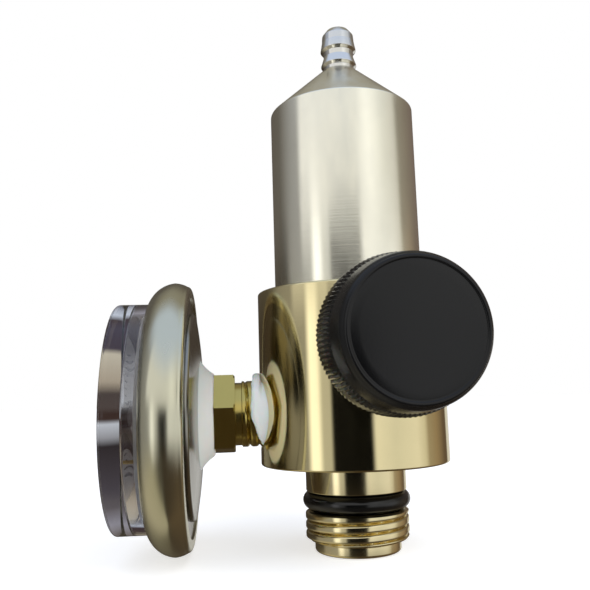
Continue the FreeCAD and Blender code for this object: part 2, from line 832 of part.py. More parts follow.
def make_knob():
    rim_inner = s.knob_radius - s.knob_wall
    blank = turned("knob_blank", [
        (s.insert_radius, s.knob_hub_start),
        (s.knob_hub_radius, s.knob_hub_start),
        (s.knob_hub_radius, s.knob_recess_end),
        (rim_inner - 0.6, s.knob_recess_end),
        (rim_inner, s.knob_start),
        (s.knob_radius - 0.3, s.knob_start),
        (s.knob_radius, s.knob_start + 0.3),
        (s.knob_radius, s.knob_band_end),
        (s.knob_shoulder_radius, s.knob_band_end + 0.25),
        (s.knob_front_radius, s.knob_front_start),
        (s.knob_face_radius, s.knob_end, s.knob_edge_round),
        (0, s.knob_end + s.knob_dome),
        (0, s.insert_end),
        (s.insert_radius, s.insert_end),
    ], VALVE)
    drill = doc.addObject("Part::Cylinder", "set_screw_drill")
    for name, size in (("Radius", s.set_screw_radius), ("Height", s.knob_radius + 2)):
        setattr(drill, name, size.value)
        drill.setExpression(name, size.text)
    place(drill, VALVE, z=s.set_screw_distance)
    tilt = FreeCAD.Rotation(FreeCAD.Vector(0, 1, 0), 90)
    about_axis = FreeCAD.Rotation(FreeCAD.Vector(0, 0, 1), s.set_screw_turn.value)
    radial = axis_rotation(VALVE) * about_axis * tilt
    drill.Placement = FreeCAD.Placement(drill.Placement.Base, radial)
    keep("knob", cut_from("knob_cut", blank, [drill]))

    insert = tube("insert_blank", s.insert_radius, s.stem_shank_radius,
                  s.knob_hub_start, s.insert_end, VALVE)
    insert_drill = doc.copyObject(drill)
    keep("knob_insert", cut_from("insert_cut", insert, [insert_drill]))

    screw = doc.addObject("Part::Cylinder", "set_screw")
    length = s.knob_hub_radius - s.stem_shank_radius - 0.3
    for name, size in (("Radius", s.set_screw_radius), ("Height", length)):
        setattr(screw, name, size.value)
        screw.setExpression(name, size.text)
    direction = radial.multVec(FreeCAD.Vector(0, 0, 1))
    start = drill.Placement.Base + direction * (s.stem_shank_radius.value + 0.02)
    screw.Placement = FreeCAD.Placement(start, radial)
    socket = doc.addObject("Part::Prism", "set_screw_socket")
    socket.Polygon = 6
    socket.Circumradius = s.set_screw_radius.value * 0.55
    socket.Height = 2.0
    socket_start = start + direction * (length.value - 1.2)
    socket.Placement = FreeCAD.Placement(socket_start, radial)
    keep("knob_set_screw", cut_from("set_screw_cut", screw, [socket]))


# ---------------------------------------------------------------- gauge outside


def make_gauge_case():
    plate_end = s.plate_start + s.case_sheet
    bar_start = plate_end + s.dome_rise
    stem = turned("socket_blank", [
        (0, s.socket_start),
        (s.socket_thread_radius - s.slide_clearance, s.socket_start),
        (s.socket_radius, s.gauge_port_mouth),
        (s.socket_radius, s.hex_start),
        (s.spigot_radius, s.hex_start),
        (s.spigot_radius, bar_start),
        (0, bar_start),
    ], GAUGE)
    nut_height = s.cone_start - s.hex_start
    nut = hexagon("socket_hex", s.hex_flats, s.hex_start, nut_height, GAUGE, s.hex_turn.value)
    bar = block(
        "socket_bar",
        (-s.bar_reach, -s.bar_half_width, bar_start),
        (s.bar_reach + s.bar_half_width, s.bar_half_width * 2, s.bar_thickness),
        GAUGE,
    )
    lug = block(
        "socket_lug",
        (-s.bar_reach, -s.lug_half_width, bar_start),
        (s.bar_reach - s.lug_inner, s.lug_half_width * 2, s.tube_start + s.tube_width - bar_start),
        GAUGE,
    )
    bore_end = bar_start + s.bar_thickness / 2
    bore = rod("socket_bore", s.passage_radius, s.socket_start, bore_end - s.socket_start, GAUGE)
    keep("gauge_socket", cut_from("socket_cut", joined("socket_solid", [stem, nut, bar, lug]), [bore]))
    keep("gauge_restrictor", tube(
        "restrictor", s.passage_radius, 0.25, s.socket_start, s.socket_start + 2.5, GAUGE))
    keep("thread_tape", tube(
        "tape", s.tape_radius, s.socket_radius, s.gauge_port_mouth, s.tape_end, GAUGE))
    keep("gauge_cone", turned("cone", [
        (s.spigot_radius, s.cone_start),
        (s.cone_small_radius, s.cone_start),
        (s.cone_large_radius, s.plate_start, -s.cone_flare_radius),
        (s.spigot_radius, s.plate_start),
    ], GAUGE))
    keep("gauge_case", turned("case", [
        (s.spigot_radius, s.plate_start),
        (s.cone_large_radius, s.plate_start),
        (s.plate_radius - s.plate_corner, s.plate_start + s.dome_rise),
        (s.plate_radius, s.plate_start + s.dome_rise + s.plate_corner, s.plate_corner),
        (s.plate_radius, s.flange_start),
        (s.case_radius, s.flange_start),
        (s.case_radius, s.case_end),
        (s.case_radius - s.case_sheet, s.case_end),
        (s.case_radius - s.case_sheet, s.flange_start + s.case_sheet),
        (s.plate_radius - s.case_sheet, s.flange_start + s.case_sheet),
        (s.plate_radius - s.case_sheet, bar_start),
        (s.cone_large_radius, plate_end),
        (s.spigot_radius, plate_end),
    ], GAUGE))
    flange_end = s.case_end + s.gasket_thickness + s.window_flange_thickness
    mouth_radius = s.window_radius + s.bezel_gap
    keep("gauge_bezel", turned("bezel", [
        (s.case_radius, s.bezel_start),
        (s.bezel_back_radius, s.bezel_start),
        (s.bezel_corner_radius, s.bezel_corner_end, s.bezel_corner_round),
        (s.bezel_radius, s.bezel_widest, s.bezel_side_round),
        (s.bezel_lip_radius, s.bezel_end, s.bezel_front_round),
        (mouth_radius, s.bezel_end - s.bezel_lip_slope),
        (mouth_radius, flange_end),
        (s.case_radius, flange_end),
    ], GAUGE))
    keep("window_gasket", tube(
        "gasket", s.case_radius, s.case_radius - s.case_sheet,
        s.case_end, s.case_end + s.gasket_thickness, GAUGE))
    flange_start = s.case_end + s.gasket_thickness
    inner = s.window_radius - s.window_wall
    keep("gauge_window", turned("window", [
        (inner, flange_start),
        (s.case_radius, flange_start),
        (s.case_radius, flange_end),
        (s.window_radius, flange_end),
        (s.window_radius, s.window_end - s.window_edge),
        (s.window_radius - s.window_edge, s.window_end, s.window_edge),
        (0, s.window_end),
        (0, s.window_face_start),
        (inner, s.window_face_start),
    ], GAUGE))


# ---------------------------------------------------------------- gauge inside


def polar(radius, degrees):
    """Local x, y of a point on the gauge, from its centre."""
    angle = math.radians(degrees)
    return radius * math.cos(angle), radius * math.sin(angle)


PILLARS = [(3.6, 3.6), (-9.0, 0.5)]
PLATE_OUTLINE = [
    (7.2, -1.4), (7.2, 1.6), (5.2, 5.2), (1.2, 5.4),
    (-10.6, 2.4), (-10.6, -2.0), (-7.4, -8.7), (-4.2, -8.7),
]


def make_dial():
    screws = [polar(s.dial_screw_offset.value, angle) for angle in (0, 180)]
    holes = [(0, 0, 1.6)] + [(x, y, s.dial_screw_radius) for x, y in screws]
    keep("gauge_dial", flat(
        "dial", s.dial_start, s.dial_thickness, GAUGE, circle=s.dial_radius, holes=holes))
    screws_and_heads = []
    shank_start = s.front_plate_start + s.movement_sheet
    for i, (x, y) in enumerate(screws):
        shank = rod(f"dial_screw_shank_{i}", s.dial_screw_radius, shank_start,
                    s.dial_start + s.dial_thickness - shank_start, GAUGE, x, y)
        head = rod(f"dial_screw_head_{i}", s.dial_screw_radius * 1.6,
                   s.dial_start + s.dial_thickness, 0.35, GAUGE, x, y)
        foot = rod(f"dial_screw_foot_{i}", s.dial_screw_radius * 1.6,
                   shank_start, s.dial_start - shank_start, GAUGE, x, y)
        screws_and_heads.append(joined(f"dial_screw_{i}", [shank, head, foot]))
    keep("dial_screws", joined("dial_screw_pair", screws_and_heads))


def half_rings(mean_radius, pitch, count, thickness, width):
    """Spiral of half rings, each a little larger, with a common inner end on local X."""
    rings = []
    centre = 0.0
    radius = mean_radius
    for i in range(count):
        section = Part.makePlane(
            thickness, width,
            FreeCAD.Vector(centre + radius - thickness / 2, 0, 0),
            FreeCAD.Vector(0, -1, 0), FreeCAD.Vector(1, 0, 0))
        half = section.revolve(FreeCAD.Vector(centre, 0, 0), FreeCAD.Vector(0, 0, 1), 180)
        if i % 2:
            half = half.mirror(FreeCAD.Vector(centre, 0, 0), FreeCAD.Vector(1, 0, 0))
            half = half.mirror(FreeCAD.Vector(centre, 0, 0), FreeCAD.Vector(0, 1, 0))
        rings.append(half)
        radius += pitch / 2
        centre += pitch / 2 if i % 2 else -pitch / 2
    return rings[0].multiFuse(rings[1:]).removeSplitter()


def make_hairspring():
    spring = doc.addObject("Part::Feature", "spiral")
    spring.Shape = half_rings(
        s.pinion_radius.value * 0.8, HAIRSPRING_PITCH, HAIRSPRING_HALF_TURNS,
        s.hairspring_sheet.value, s.hairspring_width.value)
    place(spring, GAUGE, z=s.hairspring_start)
    keep("hairspring", spring)


def gear_outline(teeth, full_circle_teeth, radius, first_angle):
    """Points of a run of straight-sided teeth, centred on first_angle and upwards."""
    pitch = 360 / full_circle_teeth
    corners = ((-0.3, -DEDENDUM), (-0.12, ADDENDUM), (0.12, ADDENDUM), (0.3, -DEDENDUM))
    points = []
    for tooth in range(teeth):
        middle = first_angle + tooth * pitch
        points += [polar(radius + rise, middle + share * pitch) for share, rise in corners]
    return points


def make_bourdon_tube():
    inner = s.tube_mean_radius - s.tube_half_thickness
    body = doc.addObject("PartDesign::Body", "tube_arc")
    sketch = new_sketch(body, "XZ_Plane", "tube_section")
    outer = s.tube_mean_radius + s.tube_half_thickness
    low, high = s.tube_start, s.tube_start + s.tube_width
    draw_outline(sketch, [
        (inner + 0.3, low), (outer - 0.3, low), (outer, low + 0.6), (outer, high - 0.6),
        (outer - 0.3, high), (inner + 0.3, high), (inner, high - 0.6), (inner, low + 0.6),
    ])
    turn = body.newObject("PartDesign::Revolution", "tube_turn")
    turn.Profile = sketch
    turn.ReferenceAxis = (sketch, ["V_Axis"])
    turn.Angle = s.tube_sweep.value
    turn.setExpression("Angle", s.tube_sweep.text)
    body.Tip = turn
    place(body, GAUGE)
    return spin(body, GAUGE, s.tube_end_direction.value)


def make_movement():
    pivot = polar((s.sector_radius + s.pinion_radius).value, s.pivot_direction.value)
    arbor_hole = s.arbor_radius + s.slide_clearance
    pillar_holes = [(x, y, s.pillar_radius * 0.6) for x, y in PILLARS]
    holes = [(0, 0, arbor_hole), (pivot[0], pivot[1], arbor_hole)] + pillar_holes
    keep("movement_rear_plate", flat(
        "rear_plate", s.rear_plate_start, s.movement_sheet, GAUGE,
        vertices=PLATE_OUTLINE, holes=holes))
    keep("movement_front_plate", flat(
        "front_plate", s.front_plate_start, s.movement_sheet, GAUGE,
        vertices=PLATE_OUTLINE, holes=holes))
    between = s.rear_plate_start + s.movement_sheet
    gap = s.front_plate_start - between
    pillars = [rod(f"pillar_{i}", s.pillar_radius, between, gap, GAUGE, x, y)
               for i, (x, y) in enumerate(PILLARS)]
    keep("movement_pillars", joined("pillar_pair", pillars))
    screws = []
    for i, (x, y) in enumerate(PILLARS):
        shank = rod(f"movement_screw_shank_{i}", s.pillar_radius * 0.6, s.front_plate_start,
                    s.movement_sheet, GAUGE, x, y)
        head = rod(f"movement_screw_head_{i}", s.pillar_radius,
                   s.front_plate_start + s.movement_sheet, 0.4, GAUGE, x, y)
        screws.append(joined(f"movement_screw_{i}", [shank, head]))
    keep("movement_screws", joined("movement_screw_pair", screws))
    make_sector(pivot)
    make_pointer()


def make_sector(pivot):
    towards_centre = s.pivot_direction.value + 180
    pitch = 360 / SECTOR_TEETH
    teeth = 10
    first = towards_centre - (teeth - 2) * pitch
    points = gear_outline(teeth, SECTOR_TEETH, s.sector_radius.value, first)
    root = s.sector_radius.value - 1.4
    arm = [polar(root, first + (teeth - 1) * pitch), polar(root, towards_centre - 12),
           polar(1.3, towards_centre + 20), polar(1.3, 180)]
    tail = [(-0.7, -s.tail_length.value - 0.7), (0.7, -s.tail_length.value - 0.7)]
    arm_return = [polar(1.3, 0), polar(root, towards_centre - 22), polar(root, first)]
    outline = [(pivot[0] + x, pivot[1] + y) for x, y in points + arm + tail + arm_return]
    wheel = flat("sector_wheel", s.sector_start, s.sector_thickness, GAUGE, vertices=outline)
    play = s.slide_clearance
    shaft_start = s.rear_plate_start + play
    shaft_length = s.front_plate_start + s.movement_sheet - play - shaft_start
    shaft = rod("sector_shaft", s.arbor_radius, shaft_start, shaft_length, GAUGE, *pivot)
    pin_at = (pivot[0], pivot[1] - s.tail_length.value)
    link_end = s.link_start + s.link_thickness
    pin = rod("tail_pin", 0.35, s.sector_start, link_end - s.sector_start, GAUGE, *pin_at)
    keep("sector_gear", joined("sector", [wheel, shaft, pin]))

    far = (pin_at[0] + 5.8, pin_at[1] - 2.7)
    link_bar = flat("link_bar", s.link_start, s.link_thickness, GAUGE, vertices=[
        (pin_at[0] - 0.8, pin_at[1] + 0.5), (pin_at[0] - 0.8, pin_at[1] - 0.6),
        (far[0] - 0.4, far[1] - 0.8), (far[0] + 0.8, far[1] - 0.5), (far[0] + 0.7, far[1] + 0.6),
        (pin_at[0] + 0.6, pin_at[1] + 0.8),
    ], holes=[(pin_at[0], pin_at[1], 0.4), (far[0], far[1], 0.4)])
    keep("movement_link", link_bar)

    end = polar(s.tube_mean_radius.value, s.tube_end_direction.value)
    tab = flat("tip_tab", s.sector_start, s.sector_thickness, GAUGE, vertices=[
        (end[0] + 0.5, end[1] + 0.6), (far[0] - 0.8, far[1] + 0.6),
        (far[0] - 0.8, far[1] - 0.6), (end[0] + 0.5, end[1] - 0.8),
    ])
    keep("bourdon_tube", make_bourdon_tube())
    keep("bourdon_tip", tab)


def make_pointer():
    pinion_points = gear_outline(
        PINION_TEETH, PINION_TEETH, s.pinion_radius.value,
        s.pivot_direction.value + 180 / PINION_TEETH)
    wheel = flat("pinion_wheel", s.pinion_start, s.pinion_width, GAUGE, vertices=pinion_points)
    play = s.slide_clearance
    arbor_start = s.rear_plate_start + play
    arbor = rod("arbor", s.arbor_radius, arbor_start, s.pointer_start - arbor_start, GAUGE)
    keep("pinion_arbor", joined("pinion", [wheel, arbor]))
    rest = s.pointer_rest_angle.value
    tip = polar(s.pointer_length.value, rest)
    side_angles = (rest - 90, rest + 90)
    hub = [polar(1.0, a) for a in side_angles]
    tail = polar(-s.pointer_tail.value, rest)
    tail_sides = [(tail[0] + dx, tail[1] + dy) for dx, dy in (polar(0.8, a) for a in side_angles)]
    tip_sides = [(tip[0] + dx, tip[1] + dy) for dx, dy in (polar(0.12, a) for a in side_angles)]
    outline = [tail_sides[0], hub[0], tip_sides[0], tip_sides[1], hub[1], tail_sides[1]]
    needle = flat("needle", s.pointer_start, s.pointer_thickness, GAUGE, vertices=outline)
    cap = rod("needle_cap", 1.5, s.pointer_start, s.pointer_thickness * 2, GAUGE)
    keep("gauge_pointer", joined("pointer", [needle, cap]))
    x, y = polar(9.5, rest + 5)
    pin_start = s.dial_start + s.dial_thickness
    pin_length = s.pointer_start + s.pointer_thickness - pin_start
    keep("pointer_stop_pin", rod("stop_pin", 0.3, pin_start, pin_length, GAUGE, x, y))


# ---------------------------------------------------------------- build, check, export

make_inlet()
make_lower_body()
make_piston()
make_spring()
make_bonnet()
make_valve()
make_knob()
make_gauge_case()
make_dial()
make_hairspring()
make_movement()
doc.recompute()

for item in doc.Objects:
    if "Invalid" in item.State or "Error" in item.State:
        raise RuntimeError(f"{item.Label} failed to build: {item.State}")
for node, piece in parts.items():
    if piece.Shape.isNull() or not piece.Shape.isValid() or not piece.Shape.Solids:
        raise RuntimeError(f"{node} has no valid solid")

os.makedirs("parts", exist_ok=True)
for node, piece in parts.items():
    piece.Shape.exportStep(f"parts/{node}.step")
    print(f"{node:22s} {len(piece.Shape.Solids)} solid(s) {piece.Shape.Volume:10.2f} mm3")
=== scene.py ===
"""Looks of the fixed-flow gas regulator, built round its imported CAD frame.

Everything is in metres, in the CAD's own frame. Turned pieces are drawn in millimetres on their own
axis with local z along it, and set into the frame by that axis's matrix.
"""

import json
import math

import bmesh
import bpy
from mathutils import Matrix, Vector, noise


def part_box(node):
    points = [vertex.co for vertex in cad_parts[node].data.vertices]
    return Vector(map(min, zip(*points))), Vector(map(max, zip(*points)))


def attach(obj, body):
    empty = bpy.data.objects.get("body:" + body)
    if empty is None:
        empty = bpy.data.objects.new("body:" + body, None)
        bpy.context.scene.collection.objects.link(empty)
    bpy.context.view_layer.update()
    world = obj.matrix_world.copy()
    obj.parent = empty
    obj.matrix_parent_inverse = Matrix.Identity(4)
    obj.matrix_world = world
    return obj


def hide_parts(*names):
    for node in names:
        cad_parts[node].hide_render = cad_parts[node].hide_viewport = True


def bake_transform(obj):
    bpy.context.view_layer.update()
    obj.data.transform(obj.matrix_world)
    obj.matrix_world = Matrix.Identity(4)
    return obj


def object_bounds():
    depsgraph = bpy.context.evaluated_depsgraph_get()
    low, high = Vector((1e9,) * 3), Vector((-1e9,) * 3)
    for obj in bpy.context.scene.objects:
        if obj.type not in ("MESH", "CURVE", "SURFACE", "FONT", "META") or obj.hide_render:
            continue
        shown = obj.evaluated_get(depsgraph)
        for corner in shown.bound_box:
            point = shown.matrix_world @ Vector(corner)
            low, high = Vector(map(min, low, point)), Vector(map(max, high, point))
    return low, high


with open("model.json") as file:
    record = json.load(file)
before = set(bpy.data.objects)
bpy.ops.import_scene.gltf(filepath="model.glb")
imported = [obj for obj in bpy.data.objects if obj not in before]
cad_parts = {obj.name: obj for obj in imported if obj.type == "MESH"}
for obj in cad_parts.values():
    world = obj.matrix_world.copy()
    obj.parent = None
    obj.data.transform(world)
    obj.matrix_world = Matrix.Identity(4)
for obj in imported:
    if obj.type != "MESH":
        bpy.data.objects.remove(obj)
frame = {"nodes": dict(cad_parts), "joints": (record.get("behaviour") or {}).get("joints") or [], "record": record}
CAD_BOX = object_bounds()
MM = 0.001


def add_object(name, data):
    """New object in the scene."""
    made = bpy.data.objects.new(name, data)
    bpy.context.scene.collection.objects.link(made)
    return made


# ---------------------------------------------------------------- sizes from the frame


def span(node, axis):
    """Lowest and highest coordinate of a CAD node along x, y or z (0, 1 or 2), in millimetres."""
    low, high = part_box(node)
    return low[axis] / MM, high[axis] / MM


TIP_Z = span("inlet_nipple", 2)[0]
BODY_Z = span("lower_body", 2)[0]
SHOULDER_Z, CONE_TOP_Z = span("bonnet", 2)
BARB_TOP_Z = span("hose_barb", 2)[1]
BODY_R = span("lower_body", 1)[1]
BONNET_R = span("bonnet", 1)[1]
SEAL_Z = sum(span("inlet_o_ring", 2)) / 2
SEAL_SECTION = span("inlet_o_ring", 2)[1] - span("inlet_o_ring", 2)[0]
SEAL_R = span("inlet_o_ring", 1)[1] - SEAL_SECTION / 2
GAUGE_Z = sum(span("gauge_bezel", 2)) / 2
BEZEL_R = span("gauge_bezel", 1)[1]
JOINTS = {joint["name"]: joint for joint in frame["joints"]}
VALVE_OUT = Vector(JOINTS["knob_turn"]["axis"]).normalized()
VALVE_Z = JOINTS["knob_turn"]["pos_m"][2] / MM


def along_gauge(node):
    """Where a node starts and ends on the gauge's axis, as distances from the body's axis."""
    low, high = span(node, 0)
    return -high, -low


def along_valve(node):
    """Where a node starts and ends on the valve's axis, from its mesh."""
    reach = [vertex.co.dot(VALVE_OUT) / MM for vertex in frame["nodes"][node].data.vertices]
    return min(reach), max(reach)


BODY_AXIS = Matrix.Identity(4)
GAUGE_AXIS = Matrix((
    (0, 0, -1, 0),
    (0, 1, 0, 0),
    (1, 0, 0, GAUGE_Z * MM),
    (0, 0, 0, 1),
))
VALVE_SIDE = Vector((0, 0, 1)).cross(VALVE_OUT)
VALVE_AXIS = Matrix((
    (VALVE_SIDE.x, 0, VALVE_OUT.x, 0),
    (VALVE_SIDE.y, 0, VALVE_OUT.y, 0),
    (VALVE_SIDE.z, 1, VALVE_OUT.z, VALVE_Z * MM),
    (0, 0, 0, 1),
))

# ---------------------------------------------------------------- camera

# Place round the frame's z axis, in millimetres, and directions in radians.
CAMERA_DISTANCE = 108.71
CAMERA_BEARING = math.radians(-99.2)
CAMERA_HEIGHT = 17.96
CAMERA_HEADING = math.radians(85.33)
CAMERA_PITCH = 0.1425
CAMERA_ROLL = -0.03
# Lens and sensor in millimetres, clipping in metres.
CAMERA_LENS = 41.25
CAMERA_SENSOR = 36
CAMERA_CLIP = (0.005, 20)


def make_camera():
    """The photograph's viewpoint: a little below the object's middle, looking slightly up."""
    upright = Vector((0, 0, 1))
    forward_flat = Vector((math.cos(CAMERA_HEADING), math.sin(CAMERA_HEADING), 0))
    right_flat = Vector((math.sin(CAMERA_HEADING), -math.cos(CAMERA_HEADING), 0))
    forward = math.cos(CAMERA_PITCH) * forward_flat + math.sin(CAMERA_PITCH) * upright
    up_level = -math.sin(CAMERA_PITCH) * forward_flat + math.cos(CAMERA_PITCH) * upright
    right = math.cos(CAMERA_ROLL) * right_flat + math.sin(CAMERA_ROLL) * up_level
    up = -math.sin(CAMERA_ROLL) * right_flat + math.cos(CAMERA_ROLL) * up_level
    place = Vector((
        CAMERA_DISTANCE * MM * math.cos(CAMERA_BEARING),
        CAMERA_DISTANCE * MM * math.sin(CAMERA_BEARING),
        CAMERA_HEIGHT * MM,
    ))
    data = bpy.data.cameras.new("camera")
    data.lens = CAMERA_LENS
    data.sensor_width = CAMERA_SENSOR
    data.clip_start, data.clip_end = CAMERA_CLIP
    camera = add_object("camera", data)
    camera.matrix_world = Matrix((
        (right.x, up.x, -forward.x, place.x),
        (right.y, up.y, -forward.y, place.y),
        (right.z, up.z, -forward.z, place.z),
        (0, 0, 0, 1),
    ))
    bpy.context.scene.camera = camera


# ---------------------------------------------------------------- node helpers

# The Mix node's colour sockets, which share their names with its other sockets.
MIX_FIRST, MIX_SECOND, MIX_RESULT = 6, 7, 2


class Nodes:
    """A short way to write a material's or the world's node tree."""

    def __init__(self, tree):
        self.tree = tree
        self.tree.nodes.clear()

    def add(self, kind, **settings):
        node = self.tree.nodes.new(kind)
        for name, value in settings.items():
            setattr(node, name, value)
        return node

    def link(self, source, target):
        self.tree.links.new(source, target)

    def math(self, operation, *values):
        node = self.add("ShaderNodeMath", operation=operation)
        for socket, value in zip(node.inputs, values):
            self.feed(socket, value)
        return node.outputs[0]

    def feed(self, socket, value):
        """Links a socket, or sets the input's own value."""
        if isinstance(value, bpy.types.NodeSocket):
            self.link(value, socket)
        else:
            socket.default_value = value

    def between(self, value, low, high, start=0, end=1):
        """Maps value from low..high to start..end, held at both ends."""
        node = self.add("ShaderNodeMapRange")
        node.clamp = True
        for name, given in zip(
            ("Value", "From Min", "From Max", "To Min", "To Max"), (value, low, high, start, end)
        ):
            self.feed(node.inputs[name], given)
        return node.outputs["Result"]

    def mix(self, factor, first, second):
        """Mixes two colours, each a socket or three numbers."""
        node = self.add("ShaderNodeMix", data_type="RGBA", clamp_factor=True)
        self.feed(node.inputs["Factor"], factor)
        for index, colour in ((MIX_FIRST, first), (MIX_SECOND, second)):
            is_socket = isinstance(colour, bpy.types.NodeSocket)
            self.feed(node.inputs[index], colour if is_socket else (*colour, 1))
        return node.outputs[MIX_RESULT]

    def ramp(self, factor, stops):
        node = self.add("ShaderNodeValToRGB")
        elements = node.color_ramp.elements
        while len(elements) > 1:
            elements.remove(elements[-1])
        for i, (position, colour) in enumerate(stops):
            element = elements[0] if i == 0 else elements.new(position)
            element.position = position
            element.color = (*colour, 1)
        self.feed(node.inputs["Fac"], factor)
        return node.outputs["Color"]

    def noise(self, vector, scale, detail=2.0, roughness=0.5):
        node = self.add("ShaderNodeTexNoise")
        self.feed(node.inputs["Vector"], vector)
        node.inputs["Scale"].default_value = scale
        node.inputs["Detail"].default_value = detail
        node.inputs["Roughness"].default_value = roughness
        return node.outputs["Fac"]

    def place(self):
        """Object coordinates, which are the row frame's metres."""
        return self.add("ShaderNodeTexCoord").outputs["Object"]

    def stretched(self, vector, x, y, z):
        node = self.add("ShaderNodeMapping")
        self.link(vector, node.inputs["Vector"])
        node.inputs["Scale"].default_value = (x, y, z)
        return node.outputs["Vector"]

    def separate(self, vector):
        node = self.add("ShaderNodeSeparateXYZ")
        self.link(vector, node.inputs[0])
        return node.outputs

    def bump(self, height, strength, distance):
        node = self.add("ShaderNodeBump")
        node.inputs["Strength"].default_value = strength
        node.inputs["Distance"].default_value = distance
        self.feed(node.inputs["Height"], height)
        return node.outputs["Normal"]


def new_material(name):
    material = bpy.data.materials.new(name)
    material.use_nodes = True
    nodes = Nodes(material.node_tree)
    shader = nodes.add("ShaderNodeBsdfPrincipled")
    output = nodes.add("ShaderNodeOutputMaterial")
    nodes.link(shader.outputs[0], output.inputs[0])
    return material, nodes, shader


def axis_sockets(nodes, axis):
    """Place on a piece's own x, y and z and the distance from its z axis, in metres."""
    centre = nodes.add("ShaderNodeVectorMath", operation="SUBTRACT")
    nodes.link(nodes.place(), centre.inputs[0])
    centre.inputs[1].default_value = axis.translation
    turn = axis.to_3x3()
    found = []
    for column in range(3):
        dot = nodes.add("ShaderNodeVectorMath", operation="DOT_PRODUCT")
        nodes.link(centre.outputs[0], dot.inputs[0])
        dot.inputs[1].default_value = turn.col[column]
        found.append(dot.outputs["Value"])
    x, y, z = found
    squares = (nodes.math("MULTIPLY", x, x), nodes.math("MULTIPLY", y, y))
    radius = nodes.math("SQRT", nodes.math("ADD", *squares))
    return x, y, z, radius


LINES_PER_MM = 7.0
LINE_DRIFT = 0.35  # how fast a line changes on its way round, per radian


def turned_lines(nodes, axis):
    """Fine lines round the axis: noise of the distances along it and from it."""
    x, y, z, radius = axis_sockets(nodes, axis)
    line = nodes.add("ShaderNodeCombineXYZ")
    nodes.feed(line.inputs[0], nodes.math("MULTIPLY", z, LINES_PER_MM / MM))
    nodes.feed(line.inputs[1], nodes.math("MULTIPLY", radius, LINES_PER_MM / MM))
    nodes.feed(line.inputs[2], nodes.math("MULTIPLY", nodes.math("ARCTAN2", y, x), LINE_DRIFT))
    return nodes.noise(line.outputs[0], 1.0, detail=3, roughness=0.7)


# ---------------------------------------------------------------- materials

# Noise scales, in waves per metre, and bump depths, in metres.
STAIN_SCALE = 160
SMEAR_SCALE = 420
CLOUD_SCALE = 130
SMUDGE_SCALE = 260
GRAIN_SCALE = 2500
LINE_DEPTH = 0.00001
GRAIN_DEPTH = 0.00002
STAIN_AMOUNT = 0.12
STAIN_SHADE = 0.55  # a stain's colour as a share of the clean metal's
SCATTER_DEPTH = 0.001  # how far light goes into white plastic, in metres


def metal(name, colour, roughness, axis=BODY_AXIS, lines=0.25, brushed=0.0):
    """Turned metal: fine lines round the axis, uneven polish and faint stains."""
    material, nodes, shader = new_material(name)
    place = nodes.place()
    shader.inputs["Metallic"].default_value = 1
    stains = nodes.noise(place, STAIN_SCALE, detail=4, roughness=0.6)
    smears = nodes.noise(nodes.stretched(place, 1, 1, 0.3), SMEAR_SCALE, detail=3)
    stained = tuple(channel * STAIN_SHADE for channel in colour)
    shade = nodes.mix(nodes.between(stains, 0.5, 0.85, 0.0, STAIN_AMOUNT), colour, stained)
    nodes.link(shade, shader.inputs["Base Color"])
    rough = nodes.between(smears, 0.3, 0.75, roughness * 0.82, roughness * 1.3)
    nodes.link(rough, shader.inputs["Roughness"])
    grain = turned_lines(nodes, axis)
    nodes.link(nodes.bump(grain, lines, LINE_DEPTH), shader.inputs["Normal"])
    if brushed:
        shader.inputs["Anisotropic"].default_value = brushed
        shader.inputs["Anisotropic Rotation"].default_value = 0.25
        tangent = nodes.add("ShaderNodeTangent", direction_type="RADIAL", axis="Z")
        nodes.link(tangent.outputs[0], shader.inputs["Tangent"])
    return material


def plastic(name, colour, roughness, grain=0.2, grain_scale=GRAIN_SCALE, variation=0.15,
            subsurface=0.0, specular=0.5):
    """Moulded plastic with a fine grain and slightly uneven gloss."""
    material, nodes, shader = new_material(name)
    place = nodes.place()
    speckle = nodes.noise(place, grain_scale, detail=2)
    clouds = nodes.noise(place, CLOUD_SCALE, detail=3)
    darker = tuple(channel * (1 - variation) for channel in colour)
    lighter = tuple(min(1, channel * (1 + variation)) for channel in colour)
    shade = nodes.mix(nodes.between(clouds, 0.35, 0.65), darker, lighter)
    nodes.link(shade, shader.inputs["Base Color"])
    rough = nodes.between(clouds, 0.3, 0.7, roughness * 0.85, roughness * 1.2)
    nodes.link(rough, shader.inputs["Roughness"])
    nodes.link(nodes.bump(speckle, grain, GRAIN_DEPTH), shader.inputs["Normal"])
    shader.inputs["Specular IOR Level"].default_value = specular
    if subsurface:
        shader.inputs["Subsurface Weight"].default_value = subsurface
        shader.inputs["Subsurface Scale"].default_value = SCATTER_DEPTH
    return material


def clear_plastic(name):
    """Clear moulded lens with faint smudges."""
    material, nodes, shader = new_material(name)
    smudge = nodes.noise(nodes.place(), SMUDGE_SCALE, detail=4)
    shader.inputs["Base Color"].default_value = (0.97, 0.975, 0.98, 1)
    shader.inputs["Transmission Weight"].default_value = 1
    shader.inputs["IOR"].default_value = 1.49
    nodes.link(nodes.between(smudge, 0.45, 0.8, 0.0, 0.05), shader.inputs["Roughness"])
    return material


